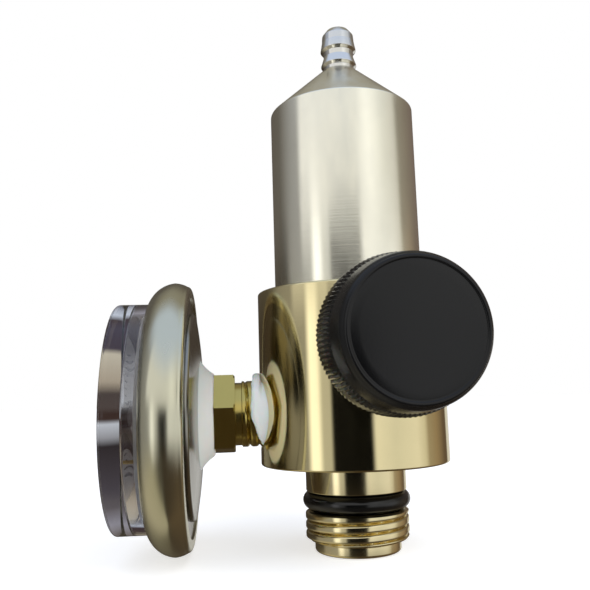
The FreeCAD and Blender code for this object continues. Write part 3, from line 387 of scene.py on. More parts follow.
def make_materials():
    """Every material by its slot, and gauge_brass, the socket's rawer brass."""
    return {
        "body_gold": metal("polished_gold", (0.76, 0.66, 0.38), 0.09, lines=0.2, brushed=0.7),
        "bonnet_brushed": metal(
            "brushed_nickel", (0.94, 0.91, 0.77), 0.2, lines=0.75, brushed=0.8),
        "brass_machined": metal("machined_brass", (0.77, 0.67, 0.4), 0.14, lines=0.2),
        "gauge_brass": metal("raw_brass", (0.54, 0.43, 0.13), 0.2, GAUGE_AXIS, lines=0.3),
        "barb_chrome": metal("bright_nickel", (0.76, 0.75, 0.71), 0.1, lines=0.25),
        "knob_black": plastic(
            "black_satin", (0.004, 0.004, 0.0042), 0.23, grain=0.2, specular=0.3),
        "seal_rubber": plastic(
            "seal_rubber", (0.004, 0.004, 0.004), 0.16, grain=0.1, specular=0.45),
        "ptfe_tape": plastic(
            "thread_tape", (0.86, 0.86, 0.84), 0.38, grain=0.1, variation=0.04, subsurface=0.4),
        "cone_white": plastic(
            "white_moulding", (0.78, 0.77, 0.72), 0.48, variation=0.03, subsurface=0.25),
        "case_metal": metal("case_metal", (0.3, 0.29, 0.26), 0.2, GAUGE_AXIS, lines=0.2),
        "bezel_nickel": metal("satin_nickel", (0.63, 0.61, 0.47), 0.22, GAUGE_AXIS, lines=0.25),
        "lens_clear": clear_plastic("clear_lens"),
        "dial_white": plastic(
            "dial_enamel", (0.84, 0.84, 0.82), 0.5, grain=0.05, variation=0.03),
        "pointer_black": plastic("pointer_enamel", (0.015, 0.015, 0.015), 0.4, grain=0.05),
        "movement_brass": metal(
            "movement_brass", (0.76, 0.58, 0.24), 0.28, GAUGE_AXIS, lines=0.3),
        "tube_bronze": metal("tube_bronze", (0.66, 0.42, 0.2), 0.3, GAUGE_AXIS, lines=0.3),
        "filter_bronze": plastic(
            "sintered_bronze", (0.28, 0.18, 0.08), 0.7, grain=1.0, grain_scale=5200),
        "spring_steel": metal("spring_steel", (0.55, 0.55, 0.56), 0.3),
        "washer_steel": metal("washer_steel", (0.62, 0.62, 0.62), 0.3),
        "screw_steel": metal("black_oxide", (0.06, 0.06, 0.065), 0.35, VALVE_AXIS),
        "seat_plastic": plastic("seat_plastic", (0.8, 0.78, 0.7), 0.45, variation=0.04),
    }


MATERIALS = make_materials()


# ---------------------------------------------------------------- world, lights and floor


def grey(level):
    """Colour without a tint."""
    return (level, level, level)


STAND_BLACK = grey(0.006)
WALL_BROWN = (0.06, 0.045, 0.03)
WALL_DIM = (0.1, 0.085, 0.07)
GROUND_BROWN = (0.08, 0.06, 0.04)

# The studio's walls all round, as (degrees, colour): 0 is behind the camera, 90 on its right and
# 180 behind the object.
WALLS_LOW = (
    (-180, WALL_BROWN),
    (-112, (0.05, 0.045, 0.04)),
    (-100, (0.3, 0.29, 0.28)),
    (-60, grey(0.36)),
    (-54, grey(1.6)),
    (-46, grey(1.5)),
    (-40, (0.62, 0.62, 0.6)),
    (-31, (0.6, 0.6, 0.58)),
    (-27.5, STAND_BLACK),
    (16.5, STAND_BLACK),
    (21.5, grey(1.0)),
    (45, (0.85, 0.86, 0.86)),
    (75, grey(0.95)),
    (88, (0.75, 0.73, 0.68)),
    (94, (0.42, 0.37, 0.3)),
    (110, (0.36, 0.28, 0.2)),
    (130, (0.15, 0.11, 0.08)),
    (180, WALL_BROWN),
)
WALLS_HIGH = (
    (-180, WALL_DIM),
    (-125, (0.13, 0.12, 0.11)),
    (-95, (0.3, 0.3, 0.31)),
    (-80, (0.35, 0.35, 0.36)),
    (-74, (0.95, 0.95, 0.96)),
    (-56, grey(0.9)),
    (20, (0.9, 0.9, 0.88)),
    (36, (1.12, 1.12, 1.1)),
    (49, (1.0, 1.0, 0.97)),
    (64, (0.78, 0.78, 0.74)),
    (88, (0.62, 0.6, 0.56)),
    (92, (0.28, 0.26, 0.22)),
    (119, (0.22, 0.19, 0.16)),
    (147, (0.18, 0.14, 0.12)),
    (180, WALL_DIM),
)
GROUND = (
    (-180, GROUND_BROWN),
    (-140, (0.2, 0.18, 0.13)),
    (-110, (0.55, 0.5, 0.38)),
    (-62, (0.5, 0.46, 0.34)),
    (-35, (0.1, 0.09, 0.07)),
    (0, WALL_BROWN),
    (40, GROUND_BROWN),
    (100, (0.14, 0.1, 0.06)),
    (180, GROUND_BROWN),
)
# What shows through the lens, as (height, colour) from straight down at 0 to straight up at 1.
THROUGH_LENS = (
    (0.0, (0.3, 0.33, 0.45)),
    (0.12, (0.62, 0.68, 0.8)),
    (0.16, (0.028, 0.014, 0.026)),
    (0.3, (0.035, 0.018, 0.024)),
    (0.32, (0.5, 0.45, 0.34)),
    (0.4, (0.36, 0.3, 0.22)),
    (0.43, (0.035, 0.02, 0.015)),
    (0.49, (0.05, 0.03, 0.025)),
    (0.5, (0.5, 0.52, 0.56)),
    (0.53, (0.3, 0.3, 0.32)),
    (0.55, (0.03, 0.024, 0.026)),
    (0.75, (0.08, 0.07, 0.085)),
    (0.85, (0.3, 0.29, 0.34)),
    (1.0, (0.2, 0.17, 0.16)),
)
NEAR_TOP = (0.66, 0.77, 1.0)
FAR_TOP = (0.34, 0.32, 0.26)
LOW_PATCH = (0.72, 0.71, 0.68)

# Where one zone fades into the next, as parts of a direction of length 1.
GROUND_FADE = (-0.55, -0.2)
HIGH_FADE = (0.09, 0.2)
TOP_FADE = (0.5, 0.8)
NEAR_FADE = (-0.4, -0.12)
PATCH_FADE = (0.045, 0.07)
PATCH_BEARINGS = (math.radians(138), math.radians(142))


def all_round(nodes, turn, stops):
    """Colour ramp of (degrees, colour) stops over a whole turn."""
    return nodes.ramp(turn, [(degrees / 360 + 0.5, colour) for degrees, colour in stops])


def make_world():
    """Soft studio: bright sides, a dark stand behind the camera, brown walls behind the object.

    The camera itself sees plain white, and rays through the lens see their own surroundings.
    """
    world = bpy.data.worlds.new("studio")
    bpy.context.scene.world = world
    world.use_nodes = True
    nodes = Nodes(world.node_tree)
    direction = nodes.add("ShaderNodeTexCoord").outputs["Generated"]
    x, y, z = nodes.separate(direction)

    def part_along(along_x, along_y):
        return nodes.math("ADD", nodes.math("MULTIPLY", x, along_x),
                          nodes.math("MULTIPLY", y, along_y))

    to_right = part_along(math.sin(CAMERA_HEADING), -math.cos(CAMERA_HEADING))
    to_back = part_along(-math.cos(CAMERA_HEADING), -math.sin(CAMERA_HEADING))
    bearing = nodes.math("ARCTAN2", to_right, to_back)
    turn = nodes.math("ADD", nodes.math("DIVIDE", bearing, 2 * math.pi), 0.5)

    in_patch = nodes.math("MULTIPLY", nodes.between(bearing, *PATCH_BEARINGS),
                          nodes.between(z, *PATCH_FADE, 1, 0))
    low = nodes.mix(in_patch, all_round(nodes, turn, WALLS_LOW), LOW_PATCH)
    shade = nodes.mix(nodes.between(z, *HIGH_FADE), low, all_round(nodes, turn, WALLS_HIGH))
    shade = nodes.mix(nodes.between(z, *GROUND_FADE, 1, 0), shade, all_round(nodes, turn, GROUND))
    top = nodes.mix(nodes.between(to_back, *NEAR_FADE), FAR_TOP, NEAR_TOP)
    shade = nodes.mix(nodes.between(z, *TOP_FADE), shade, top)
    height = nodes.math("ADD", nodes.math("MULTIPLY", z, 0.5), 0.5)
    path = nodes.add("ShaderNodeLightPath")
    shade = nodes.mix(path.outputs["Is Transmission Ray"], shade, nodes.ramp(height, THROUGH_LENS))

    lit = nodes.add("ShaderNodeBackground")
    nodes.link(shade, lit.inputs["Color"])
    plain = nodes.add("ShaderNodeBackground")
    plain.inputs["Color"].default_value = (1, 1, 1, 1)
    choose = nodes.add("ShaderNodeMixShader")
    nodes.link(path.outputs["Is Camera Ray"], choose.inputs[0])
    nodes.link(lit.outputs[0], choose.inputs[1])
    nodes.link(plain.outputs[0], choose.inputs[2])
    output = nodes.add("ShaderNodeOutputWorld")
    nodes.link(choose.outputs[0], output.inputs[0])


def make_light(name, place, size, power, colour=(1, 1, 1)):
    """Square soft light that looks at the object's middle and isn't mirrored in it."""
    data = bpy.data.lights.new(name, "AREA")
    data.shape = "SQUARE"
    data.size = size
    data.energy = power
    data.color = colour
    light = add_object(name, data)
    middle = (CAD_BOX[0] + CAD_BOX[1]) / 2
    light.location = place
    light.rotation_mode = "QUATERNION"
    light.rotation_quaternion = (middle - Vector(place)).to_track_quat("-Z", "Y")
    light.visible_glossy = False


FLOOR_RADIUS = 1.5
FLOOR_GAP = 0.0001
FLOOR_GLOW = 0.62  # keeps the floor nearly as white as the background


def make_stage():
    """Plain pale floor under the inlet's tip, which the metals and the lens don't see."""
    mesh = bpy.data.meshes.new("floor")
    floor = add_object("floor", mesh)
    shape = bmesh.new()
    bmesh.ops.create_circle(shape, cap_ends=True, segments=96, radius=FLOOR_RADIUS)
    bmesh.ops.translate(shape, verts=shape.verts, vec=(0, 0, CAD_BOX[0].z - FLOOR_GAP))
    shape.to_mesh(mesh)
    shape.free()
    material, nodes, shader = new_material("pale_floor")
    cloud = nodes.noise(nodes.place(), 9, detail=2)
    shade = nodes.mix(nodes.between(cloud, 0.3, 0.7), grey(0.78), grey(0.82))
    nodes.link(shade, shader.inputs["Base Color"])
    shader.inputs["Roughness"].default_value = 0.9
    shader.inputs["Emission Color"].default_value = (1, 1, 1, 1)
    shader.inputs["Emission Strength"].default_value = FLOOR_GLOW
    mesh.materials.append(material)
    floor.visible_glossy = False
    floor.visible_transmission = False


# ---------------------------------------------------------------- mesh helpers


def new_piece(name, mesh, slot, look=None, sharp=32):
    """A shaded piece with its slot, in the slot's material unless look names another."""
    mesh.name = name
    mesh.materials.clear()
    mesh.materials.append(MATERIALS[look or slot])
    mesh.shade_smooth()
    mesh.set_sharp_from_angle(angle=math.radians(sharp))
    piece = add_object(name, mesh)
    return piece


def finish_piece(name, mesh, slot, replaced=(), body="regulator_body", **looks):
    """Makes a piece that rides on one body."""
    piece = new_piece(name, mesh, slot, **looks)
    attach(piece, body)
    if replaced:
        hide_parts(*replaced)
    return piece


def turned_by(vector, angle):
    """A flat vector turned about the origin."""
    return Vector((
        vector.x * math.cos(angle) - vector.y * math.sin(angle),
        vector.x * math.sin(angle) + vector.y * math.cos(angle),
    ))


def fillet_profile(corners, steps=6):
    """Open polyline of (radius, z) from corners (radius, z) or (radius, z, fillet)."""
    points = []
    for i, corner in enumerate(corners):
        here = Vector(corner[:2])
        if len(corner) == 2 or i in (0, len(corners) - 1):
            points.append(here)
            continue
        before = (Vector(corners[i - 1][:2]) - here).normalized()
        after = (Vector(corners[i + 1][:2]) - here).normalized()
        half = before.angle(after) / 2
        reach = corner[2] / math.tan(half)
        centre = here + (before + after).normalized() * (corner[2] / math.sin(half))
        first = here + before * reach - centre
        last = here + after * reach - centre
        sweep = -first.angle_signed(last)
        points += [centre + turned_by(first, sweep * k / steps) for k in range(steps + 1)]
    return points


def arc(start, end, radius, steps):
    """Points after start up to end on an arc under 180 degrees, which bulges to the right.

    A negative radius bulges to the left.
    """
    start, end = Vector(start), Vector(end)
    chord = end - start
    left = Vector((-chord.y, chord.x)).normalized()
    rise = math.sqrt(max(0, radius**2 - (chord.length / 2) ** 2))
    centre = (start + end) / 2 + left * math.copysign(rise, radius)
    first = start - centre
    sweep = 2 * math.asin(min(1, chord.length / 2 / abs(radius)))
    sweep = math.copysign(sweep, radius)
    return [tuple(centre + turned_by(first, sweep * k / steps)) for k in range(1, steps + 1)]


def evenly(low, high, steps):
    """Numbers from low to high, both included."""
    return [low + (high - low) * k / steps for k in range(steps + 1)]


def clamped(value):
    """The value, held between 0 and 1."""
    return min(1.0, max(0.0, value))


def outward_mesh(shape, name):
    """Mesh of a bmesh, with its faces outward; the bmesh is used up."""
    bmesh.ops.recalc_face_normals(shape, faces=shape.faces)
    mesh = bpy.data.meshes.new(name)
    shape.to_mesh(mesh)
    shape.free()
    return mesh


def add_loft(shape, rings):
    """Walls between neighbouring rings of vertices, and caps at both ends."""
    for lower, upper in zip(rings, rings[1:]):
        for k in range(len(lower)):
            follow = (k + 1) % len(lower)
            shape.faces.new((lower[k], lower[follow], upper[follow], upper[k]))
    shape.faces.new(list(reversed(rings[0])))
    shape.faces.new(rings[-1])


ON_AXIS = 1e-6


def revolve(profile, axis, segments=192, closed=True, shape_of=None):
    """Mesh turned about an axis from (radius, z) points in millimetres.

    shape_of(radius, angle, z, index) may return another radius, for knurls and threads.
    """
    shape = bmesh.new()
    rings = []
    for index, (radius, z) in enumerate(profile):
        if radius < ON_AXIS:
            rings.append([shape.verts.new(axis @ Vector((0, 0, z * MM)))])
            continue
        ring = []
        for k in range(segments):
            angle = 2 * math.pi * k / segments
            r = shape_of(radius, angle, z, index) if shape_of else radius
            point = Vector((r * math.cos(angle), r * math.sin(angle), z)) * MM
            ring.append(shape.verts.new(axis @ point))
        rings.append(ring)
    count = len(rings)
    for i in range(count if closed else count - 1):
        lower, upper = rings[i], rings[(i + 1) % count]
        if len(lower) == 1 and len(upper) == 1:
            continue
        for k in range(segments):
            follow = (k + 1) % segments
            if len(lower) == 1:
                shape.faces.new((lower[0], upper[follow], upper[k]))
            elif len(upper) == 1:
                shape.faces.new((lower[k], lower[follow], upper[0]))
            else:
                shape.faces.new((lower[k], lower[follow], upper[follow], upper[k]))
    return outward_mesh(shape, "turned")


def joined_mesh(meshes):
    """One mesh of several."""
    shape = bmesh.new()
    for mesh in meshes:
        shape.from_mesh(mesh)
        bpy.data.meshes.remove(mesh)
    return outward_mesh(shape, "joined")


def cut_mesh(mesh, cutters):
    """The mesh with closed cutter meshes taken away."""
    target = add_object("cut_target", mesh)
    helpers = []
    for i, cutter in enumerate(cutters):
        helper = add_object(f"cutter_{i}", cutter)
        modifier = target.modifiers.new(f"cut_{i}", "BOOLEAN")
        modifier.operation = "DIFFERENCE"
        modifier.solver = "EXACT"
        modifier.object = helper
        helpers.append(helper)
    graph = bpy.context.evaluated_depsgraph_get()
    result = bpy.data.meshes.new_from_object(target.evaluated_get(graph))
    for obj in (target, *helpers):
        bpy.data.objects.remove(obj)
    return result


# ---------------------------------------------------------------- inlet

THREAD_PITCH = 25.4 / 18
THREAD_CREST = 7.9375
THREAD_ROOT = 7.3
THREAD_START = -4.7
THREAD_PHASE = 0.565
THREAD_LEAD_IN = 0.75
THREAD_RUN_OUT = 0.25
THREAD_LEFT = 0.35  # share of the thread's height at the end of its run-out
NECK_R = 7.75
NECK_STEP = 1.5
GROOVE_R = 5.65
TIP_R = 6.6
BORE_R = 3.0
BORE_STEP = 1.0


def thread_profile(phase):
    """Share of the thread's height at a phase from 0 to 1: a broad rounded crest, a narrow root."""
    away = abs(phase - 0.5) * 2
    return 1 - away**5


def make_nipple():
    """Inlet nipple with a real right-hand thread, an O-ring groove and a bore."""
    rows = 72
    gap = 0.1
    neck_top = BODY_Z + 0.3
    neck_start = SEAL_Z * 2 - gap
    thread = [(THREAD_CREST, z) for z in evenly(THREAD_START, 0, rows)]
    lower = fillet_profile([
        (BORE_R, TIP_Z + BORE_STEP),
        (BORE_R, TIP_Z, 0.2),
        (TIP_R, TIP_Z, 0.45),
        (TIP_R, THREAD_START - 0.02),
    ])
    upper = fillet_profile([
        (GROOVE_R, gap),
        (GROOVE_R, neck_start),
        (NECK_R, neck_start, 0.15),
        (NECK_R, BODY_Z),
        (NECK_R - NECK_STEP, neck_top),
        (BORE_R, neck_top),
    ])
    first_thread = len(lower)
    last_thread = first_thread + rows

    def threaded(radius, angle, z, index):
        if not first_thread <= index <= last_thread:
            return radius
        phase = (z / THREAD_PITCH - angle / (2 * math.pi) + THREAD_PHASE) % 1.0
        lead_in = clamped((z - THREAD_START) / THREAD_LEAD_IN)
        run_out = THREAD_LEFT + (1 - THREAD_LEFT) * clamped(-z / THREAD_RUN_OUT)
        root = TIP_R + (THREAD_ROOT - TIP_R) * min(1.0, lead_in * 2)
        height = (THREAD_CREST - THREAD_ROOT) * thread_profile(phase)
        return root + height * lead_in * run_out

    mesh = revolve([*lower, *thread, *upper], BODY_AXIS, segments=288, shape_of=threaded)
    finish_piece("threaded_nipple", mesh, "brass_machined", ["inlet_nipple"], sharp=40)


def make_o_ring():
    """Round O-ring above the inlet's thread."""
    points = 40
    section_r = SEAL_SECTION / 2
    turns = [2 * math.pi * k / points for k in range(points)]
    ring = [(SEAL_R + section_r * math.cos(a), SEAL_Z + section_r * math.sin(a)) for a in turns]
    mesh = revolve(ring, BODY_AXIS)
    finish_piece("inlet_seal", mesh, "seal_rubber", ["inlet_o_ring"])


# ---------------------------------------------------------------- body and bonnet

BODY_EDGE = 0.3
BODY_FLOOR = 5
BODY_HOLE_R = 6.5
BONNET_WALL = 2.2
GAUGE_PORT = (5.5, 11.5)  # radius, and the floor's distance from the body's axis
VALVE_PORT = (7.2, 13.5)
WALL_TOLERANCE = 0.02


def port_cutter(port, axis):
    """Cylinder that cuts a port from its floor out through the body's wall."""
    radius, floor = port
    outside = BODY_R + 2
    profile = [(0, floor), (radius, floor), (radius, outside), (0, outside)]
    return revolve(profile, axis, segments=96, closed=False)


def make_lower_body():
    """Polished cylinder with its two side ports."""
    inner = BONNET_R - BONNET_WALL
    floor = BODY_Z + BODY_FLOOR
    profile = fillet_profile([
        (BODY_HOLE_R, floor),
        (BODY_HOLE_R, BODY_Z),
        (BODY_R, BODY_Z, BODY_EDGE),
        (BODY_R, SHOULDER_Z, BODY_EDGE),
        (inner, SHOULDER_Z),
        (inner, floor),
    ], steps=5)
    blank = revolve(profile, BODY_AXIS, segments=256)
    ports = [port_cutter(GAUGE_PORT, GAUGE_AXIS), port_cutter(VALVE_PORT, VALVE_AXIS)]
    mesh = cut_mesh(blank, ports)
    piece = finish_piece("polished_body", mesh, "body_gold", ["lower_body"], sharp=30)
    set_cylinder_normals(piece.data, BODY_R, BODY_Z + BODY_EDGE, SHOULDER_Z - BODY_EDGE)


def set_cylinder_normals(mesh, radius, low, high):
    """Exact normals on the outer wall, so that it reflects as a true cylinder."""
    low, high = low - WALL_TOLERANCE, high + WALL_TOLERANCE
    normals = [Vector(corner.vector) for corner in mesh.corner_normals]
    for face in mesh.polygons:
        points = [mesh.vertices[v].co / MM for v in face.vertices]
        on_wall = all(abs(math.hypot(p.x, p.y) - radius) < WALL_TOLERANCE for p in points)
        if not on_wall or not all(low < p.z < high for p in points):
            continue
        for loop in face.loop_indices:
            point = mesh.vertices[mesh.loops[loop].vertex_index].co
            normals[loop] = Vector((point.x, point.y, 0)).normalized()
    mesh.normals_split_custom_set(normals)


CONE_EDGE_Z = 63.3
CONE_TOP_R = 2.75
CONE_BORE_R = 2.3
CONE_WALL = 3
BONNET_SEAM = 0.01


def make_bonnet():
    """Brushed cylinder with its conical top."""
    inner = BONNET_R - BONNET_WALL
    start = SHOULDER_Z + BONNET_SEAM
    profile = fillet_profile([
        (inner, start),
        (BONNET_R, start, 0.12),
        (BONNET_R, CONE_EDGE_Z, 0.25),
        (CONE_TOP_R, CONE_TOP_Z, 0.12),
        (CONE_BORE_R, CONE_TOP_Z),
        (CONE_BORE_R, CONE_TOP_Z - CONE_WALL),
        (inner, CONE_EDGE_Z - CONE_WALL),
    ], steps=5)
    mesh = revolve(profile, BODY_AXIS, segments=256)
    finish_piece("brushed_bonnet", mesh, "bonnet_brushed", ["bonnet"], sharp=30)


BARB_BORE_R = 1.2
BARB_NECK_R = 2.5
BARB_CREST_R = 3.0
BARB_NOSE_R = 2.72
BARB_TIP_R = 2.62
BARB_MOUTH_R = 1.85
LOWER_BARB_Z = 72.05
UPPER_BARB_Z = 74.75
BARB_RISE = 0.35


def make_barb():
    """Two-barb hose nipple."""
    foot = CONE_TOP_Z - 1
    bore_end = BARB_TOP_Z - 6
    profile = fillet_profile([
        (BARB_BORE_R, foot),
        (BARB_NECK_R, foot),
        (BARB_NECK_R, LOWER_BARB_Z, 0.1),
        (BARB_CREST_R, LOWER_BARB_Z + BARB_RISE, 0.12),
        (BARB_NECK_R, LOWER_BARB_Z + 1.85, 0.25),
        (BARB_NECK_R, UPPER_BARB_Z, 0.1),
        (BARB_CREST_R, UPPER_BARB_Z + BARB_RISE, 0.12),
        (BARB_NOSE_R, UPPER_BARB_Z + 1.85, 0.3),
        (BARB_TIP_R, BARB_TOP_Z - 1, 0.25),
        (BARB_MOUTH_R, BARB_TOP_Z, 0.15),
        (BARB_BORE_R, BARB_TOP_Z, 0.1),
        (BARB_BORE_R, bore_end),
    ], steps=5)
    mesh = revolve(profile, BODY_AXIS, segments=128)
    finish_piece("barbed_outlet", mesh, "barb_chrome", ["hose_barb"], sharp=35)


SPRING_TURNS = 6
SPRING_WIRE_R = 0.85
SPRING_RINGS_PER_TURN = 48
SPRING_RING_POINTS = 14


def make_spring():
    """Open coil spring that fills the regulating spring's span."""
    low, high = span("regulating_spring", 2)
    mean = span("regulating_spring", 1)[1] - SPRING_WIRE_R
    start = low + SPRING_WIRE_R
    height = high - low - 2 * SPRING_WIRE_R
    slope = math.atan2(height, 2 * math.pi * mean * SPRING_TURNS)
    along = SPRING_RINGS_PER_TURN * SPRING_TURNS
    shape = bmesh.new()
    rings = []
    for i in range(along + 1):
        turn = 2 * math.pi * SPRING_TURNS * i / along
        outward = Vector((math.cos(turn), math.sin(turn), 0))
        sideways = Vector((-math.sin(turn), math.cos(turn), 0))
        upward = Vector((0, 0, math.cos(slope))) - sideways * math.sin(slope)
        centre = outward * mean + Vector((0, 0, start + height * i / along))
        ring = []
        for k in range(SPRING_RING_POINTS):
            angle = 2 * math.pi * k / SPRING_RING_POINTS
            wire = outward * math.cos(angle) + upward * math.sin(angle)
            ring.append(shape.verts.new((centre + wire * SPRING_WIRE_R) * MM))
        rings.append(ring)
    add_loft(shape, rings)
    piece = new_piece("coil_spring", outward_mesh(shape, "coil"), "spring_steel")
    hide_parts("regulating_spring")
    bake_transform(piece)


# ---------------------------------------------------------------- valve

KNURL_TEETH = 100
KNURL_DEPTH = 0.2
KNOB_R = 9.97
KNOB_SIDE_R = 9.05
KNOB_HUB_R = 5.6
KNOB_HUB_BORE_R = 3.6
KNOB_HUB_LENGTH = 2.7
KNOB_HOLLOW_R = 7.4
KNOB_HOLLOW_DEPTH = 6.5
KNOB_BAND = 4.6
KNOB_FINE_BAND = 2.0
KNOB_FINE_R = (9.93, 9.6)
KNOB_PLAIN_R = 9.45
KNOB_RIM = 1.1
KNOB_DOME_R = 7.7
KNOB_DOME_DIP = 0.14


def make_knob():
    """Black knob: a knurled band that runs out up its side, a rounded rim and a domed face."""
    hub_start, end = along_valve("knob")
    start = hub_start + KNOB_HUB_LENGTH
    band_end = start + KNOB_BAND
    fine_end = band_end + KNOB_FINE_BAND
    steps = 5
    back = fillet_profile([
        (KNOB_HUB_BORE_R, hub_start),
        (KNOB_HUB_R, hub_start, 0.2),
        (KNOB_HUB_R, start + KNOB_HOLLOW_DEPTH),
        (KNOB_HOLLOW_R, start + KNOB_HOLLOW_DEPTH, 0.4),
        (KNOB_R - 2.2, start + 0.2),
        (KNOB_R - 2.0, start, 0.15),
        (KNOB_R - KNURL_DEPTH - 0.25, start),
    ])
    band_z = [start + 0.25, *evenly(start + 0.45, band_end - 0.45, steps), band_end - 0.2]
    band = [(KNOB_R, z) for z in band_z]
    fine = list(zip(evenly(*KNOB_FINE_R, steps), evenly(band_end, fine_end, steps)))
    side_start = (KNOB_PLAIN_R, fine_end)
    side_end = (KNOB_SIDE_R, end - KNOB_RIM)
    side = fillet_profile([side_start, (KNOB_PLAIN_R - 0.05, fine_end + 0.3, 0.1), side_end],
                          steps=4)
    # Arcs over the rim to the dome's edge: where each ends, its own radius and its steps.
    rim = [side_end]
    for radius, below, bend, count in (
        (8.6, 0.3, 1.6, 6),
        (8.3, 0.04, 0.34, 8),
        (8.0, 0.16, 0.4, 6),
        (KNOB_DOME_R, KNOB_DOME_DIP, -0.6, 4),
    ):
        rim += arc(rim[-1], (radius, end - below), bend, steps=count)
    inward = [1 - k / 8 for k in range(1, 9)]
    dome = [(KNOB_DOME_R * share, end - KNOB_DOME_DIP * share**2) for share in inward]
    first_tooth = len(back)
    last_tooth = first_tooth + len(band) + len(fine) - 1

    def knurled(radius, angle, z, index):
        if not first_tooth <= index <= last_tooth:
            return radius
        if index in (first_tooth, last_tooth):
            return radius - KNURL_DEPTH
        share = (angle / (2 * math.pi) * KNURL_TEETH) % 1.0
        tooth = 1 - abs(share - 0.5) * 2
        return radius - KNURL_DEPTH * (1 - tooth**0.8)

    profile = [*back, *band, *fine, *side, *rim[1:], *dome]
    mesh = revolve(profile, VALVE_AXIS, segments=KNURL_TEETH * 8, closed=False, shape_of=knurled)
    finish_piece("knurled_knob", mesh, "knob_black", ["knob"], body="knob", sharp=38)


# ---------------------------------------------------------------- gauge outside

HEX_FLATS = 11.1125
HEX_SPAN = (18.5, 21.65)
HEX_CHAMFER = 0.35
HEX_TURN = math.radians(40)
HEX_POINTS_PER_SIDE = 12


def hex_mesh(axis, flats, start, end):
    """Hexagonal prism whose corners are turned off where it starts."""
    corner = flats / 2 / math.cos(math.pi / 6)
    uncut = corner + 1
    count = 6 * HEX_POINTS_PER_SIDE
    shape = bmesh.new()
    rings = []
    chamfer_end = start + HEX_CHAMFER * 0.58
    for z, limit in ((start, corner - HEX_CHAMFER), (chamfer_end, uncut), (end, uncut)):
        ring = []
        for k in range(count):
            angle = HEX_TURN + 2 * math.pi * k / count
            away = (angle - HEX_TURN) % (math.pi / 3) - math.pi / 6
            r = min(flats / 2 / math.cos(away), limit)
            point = Vector((r * math.cos(angle), r * math.sin(angle), z)) * MM
            ring.append(shape.verts.new(axis @ point))
        rings.append(ring)
    add_loft(shape, rings)
    return outward_mesh(shape, "hexagon")


def block_mesh(axis, low, high):
    """Bar with slightly broken edges."""
    shape = bmesh.new()
    bmesh.ops.create_cube(shape, size=1)
    for vertex in shape.verts:
        vertex.co = Vector([low[i] + (vertex.co[i] + 0.5) * (high[i] - low[i]) for i in range(3)])
    bmesh.ops.bevel(shape, geom=shape.edges, offset=0.15, segments=2, affect="EDGES")
    for vertex in shape.verts:
        vertex.co = axis @ (vertex.co * MM)
    return outward_mesh(shape, "block")


STEM_R = 5.05
STEM_BORE_R = 1.0
STEM_THREAD_END = 17.4
STEM_THREAD_PITCH = 25.4 / 18
STEM_THREAD_DEPTH = 0.45
SPIGOT_R = 4.0
BAR_START = 25.2


def make_gauge_socket():
    """Brass stem with its pipe thread and hexagon, and the bar inside the case."""
    start = along_gauge("gauge_socket")[0]
    hex_start, hex_end = HEX_SPAN
    neck_r = STEM_R - 0.25
    overlap = 0.1
    rows = 60
    thread = [(STEM_R, z) for z in evenly(start + 0.3, STEM_THREAD_END, rows)]
    tip = [(STEM_BORE_R, start), (SPIGOT_R, start)]
    neck = [(neck_r, STEM_THREAD_END + 0.1), (neck_r, hex_start + overlap),
            (STEM_BORE_R, hex_start + overlap)]
    first_thread = len(tip)
    last_thread = first_thread + rows

    def threaded(radius, angle, z, index):
        if not first_thread <= index <= last_thread:
            return radius
        phase = (z / STEM_THREAD_PITCH - angle / (2 * math.pi)) % 1.0
        fade = max(0.25, min(1.0, (STEM_THREAD_END - z) / 0.8))
        return radius - STEM_THREAD_DEPTH * (1 - thread_profile(phase)) * fade

    stem = revolve([*tip, *thread, *neck], GAUGE_AXIS, segments=144, shape_of=threaded)
    nut = hex_mesh(GAUGE_AXIS, HEX_FLATS, hex_start, hex_end)
    spigot_start = hex_end - overlap
    spigot = revolve([(0, spigot_start), (SPIGOT_R, spigot_start), (SPIGOT_R, BAR_START),
                      (0, BAR_START)], GAUGE_AXIS, segments=64, closed=False)
    bar = block_mesh(GAUGE_AXIS, (-14.4, -4.0, BAR_START), (4.0, 4.0, 26.4))
    lug = block_mesh(GAUGE_AXIS, (-14.4, -2.4, 26.3), (-10.8, 2.4, 29.4))
    mesh = joined_mesh([stem, nut, spigot, bar, lug])
    finish_piece("threaded_socket", mesh, "brass_machined", ["gauge_socket"], look="gauge_brass",
                 sharp=30)


TAPE_R = 5.0
TAPE_CROWN = 0.36
TAPE_IN_PORT_R = 5.4
TAPE_LIFT = 0.85
TAPE_WIDTH = 2.0
TAPE_SLANT = 0.75
TAPE_FLAP = 1.3
TAPE_FLAP_TURN = math.radians(80)
TAPE_WRINKLES = ((2.2, 0.05), (5.0, 0.03))  # how fine, how high
TAPE_RAGGED = (0.9, 0.15)
CLEAR_OF_BODY = 14.7


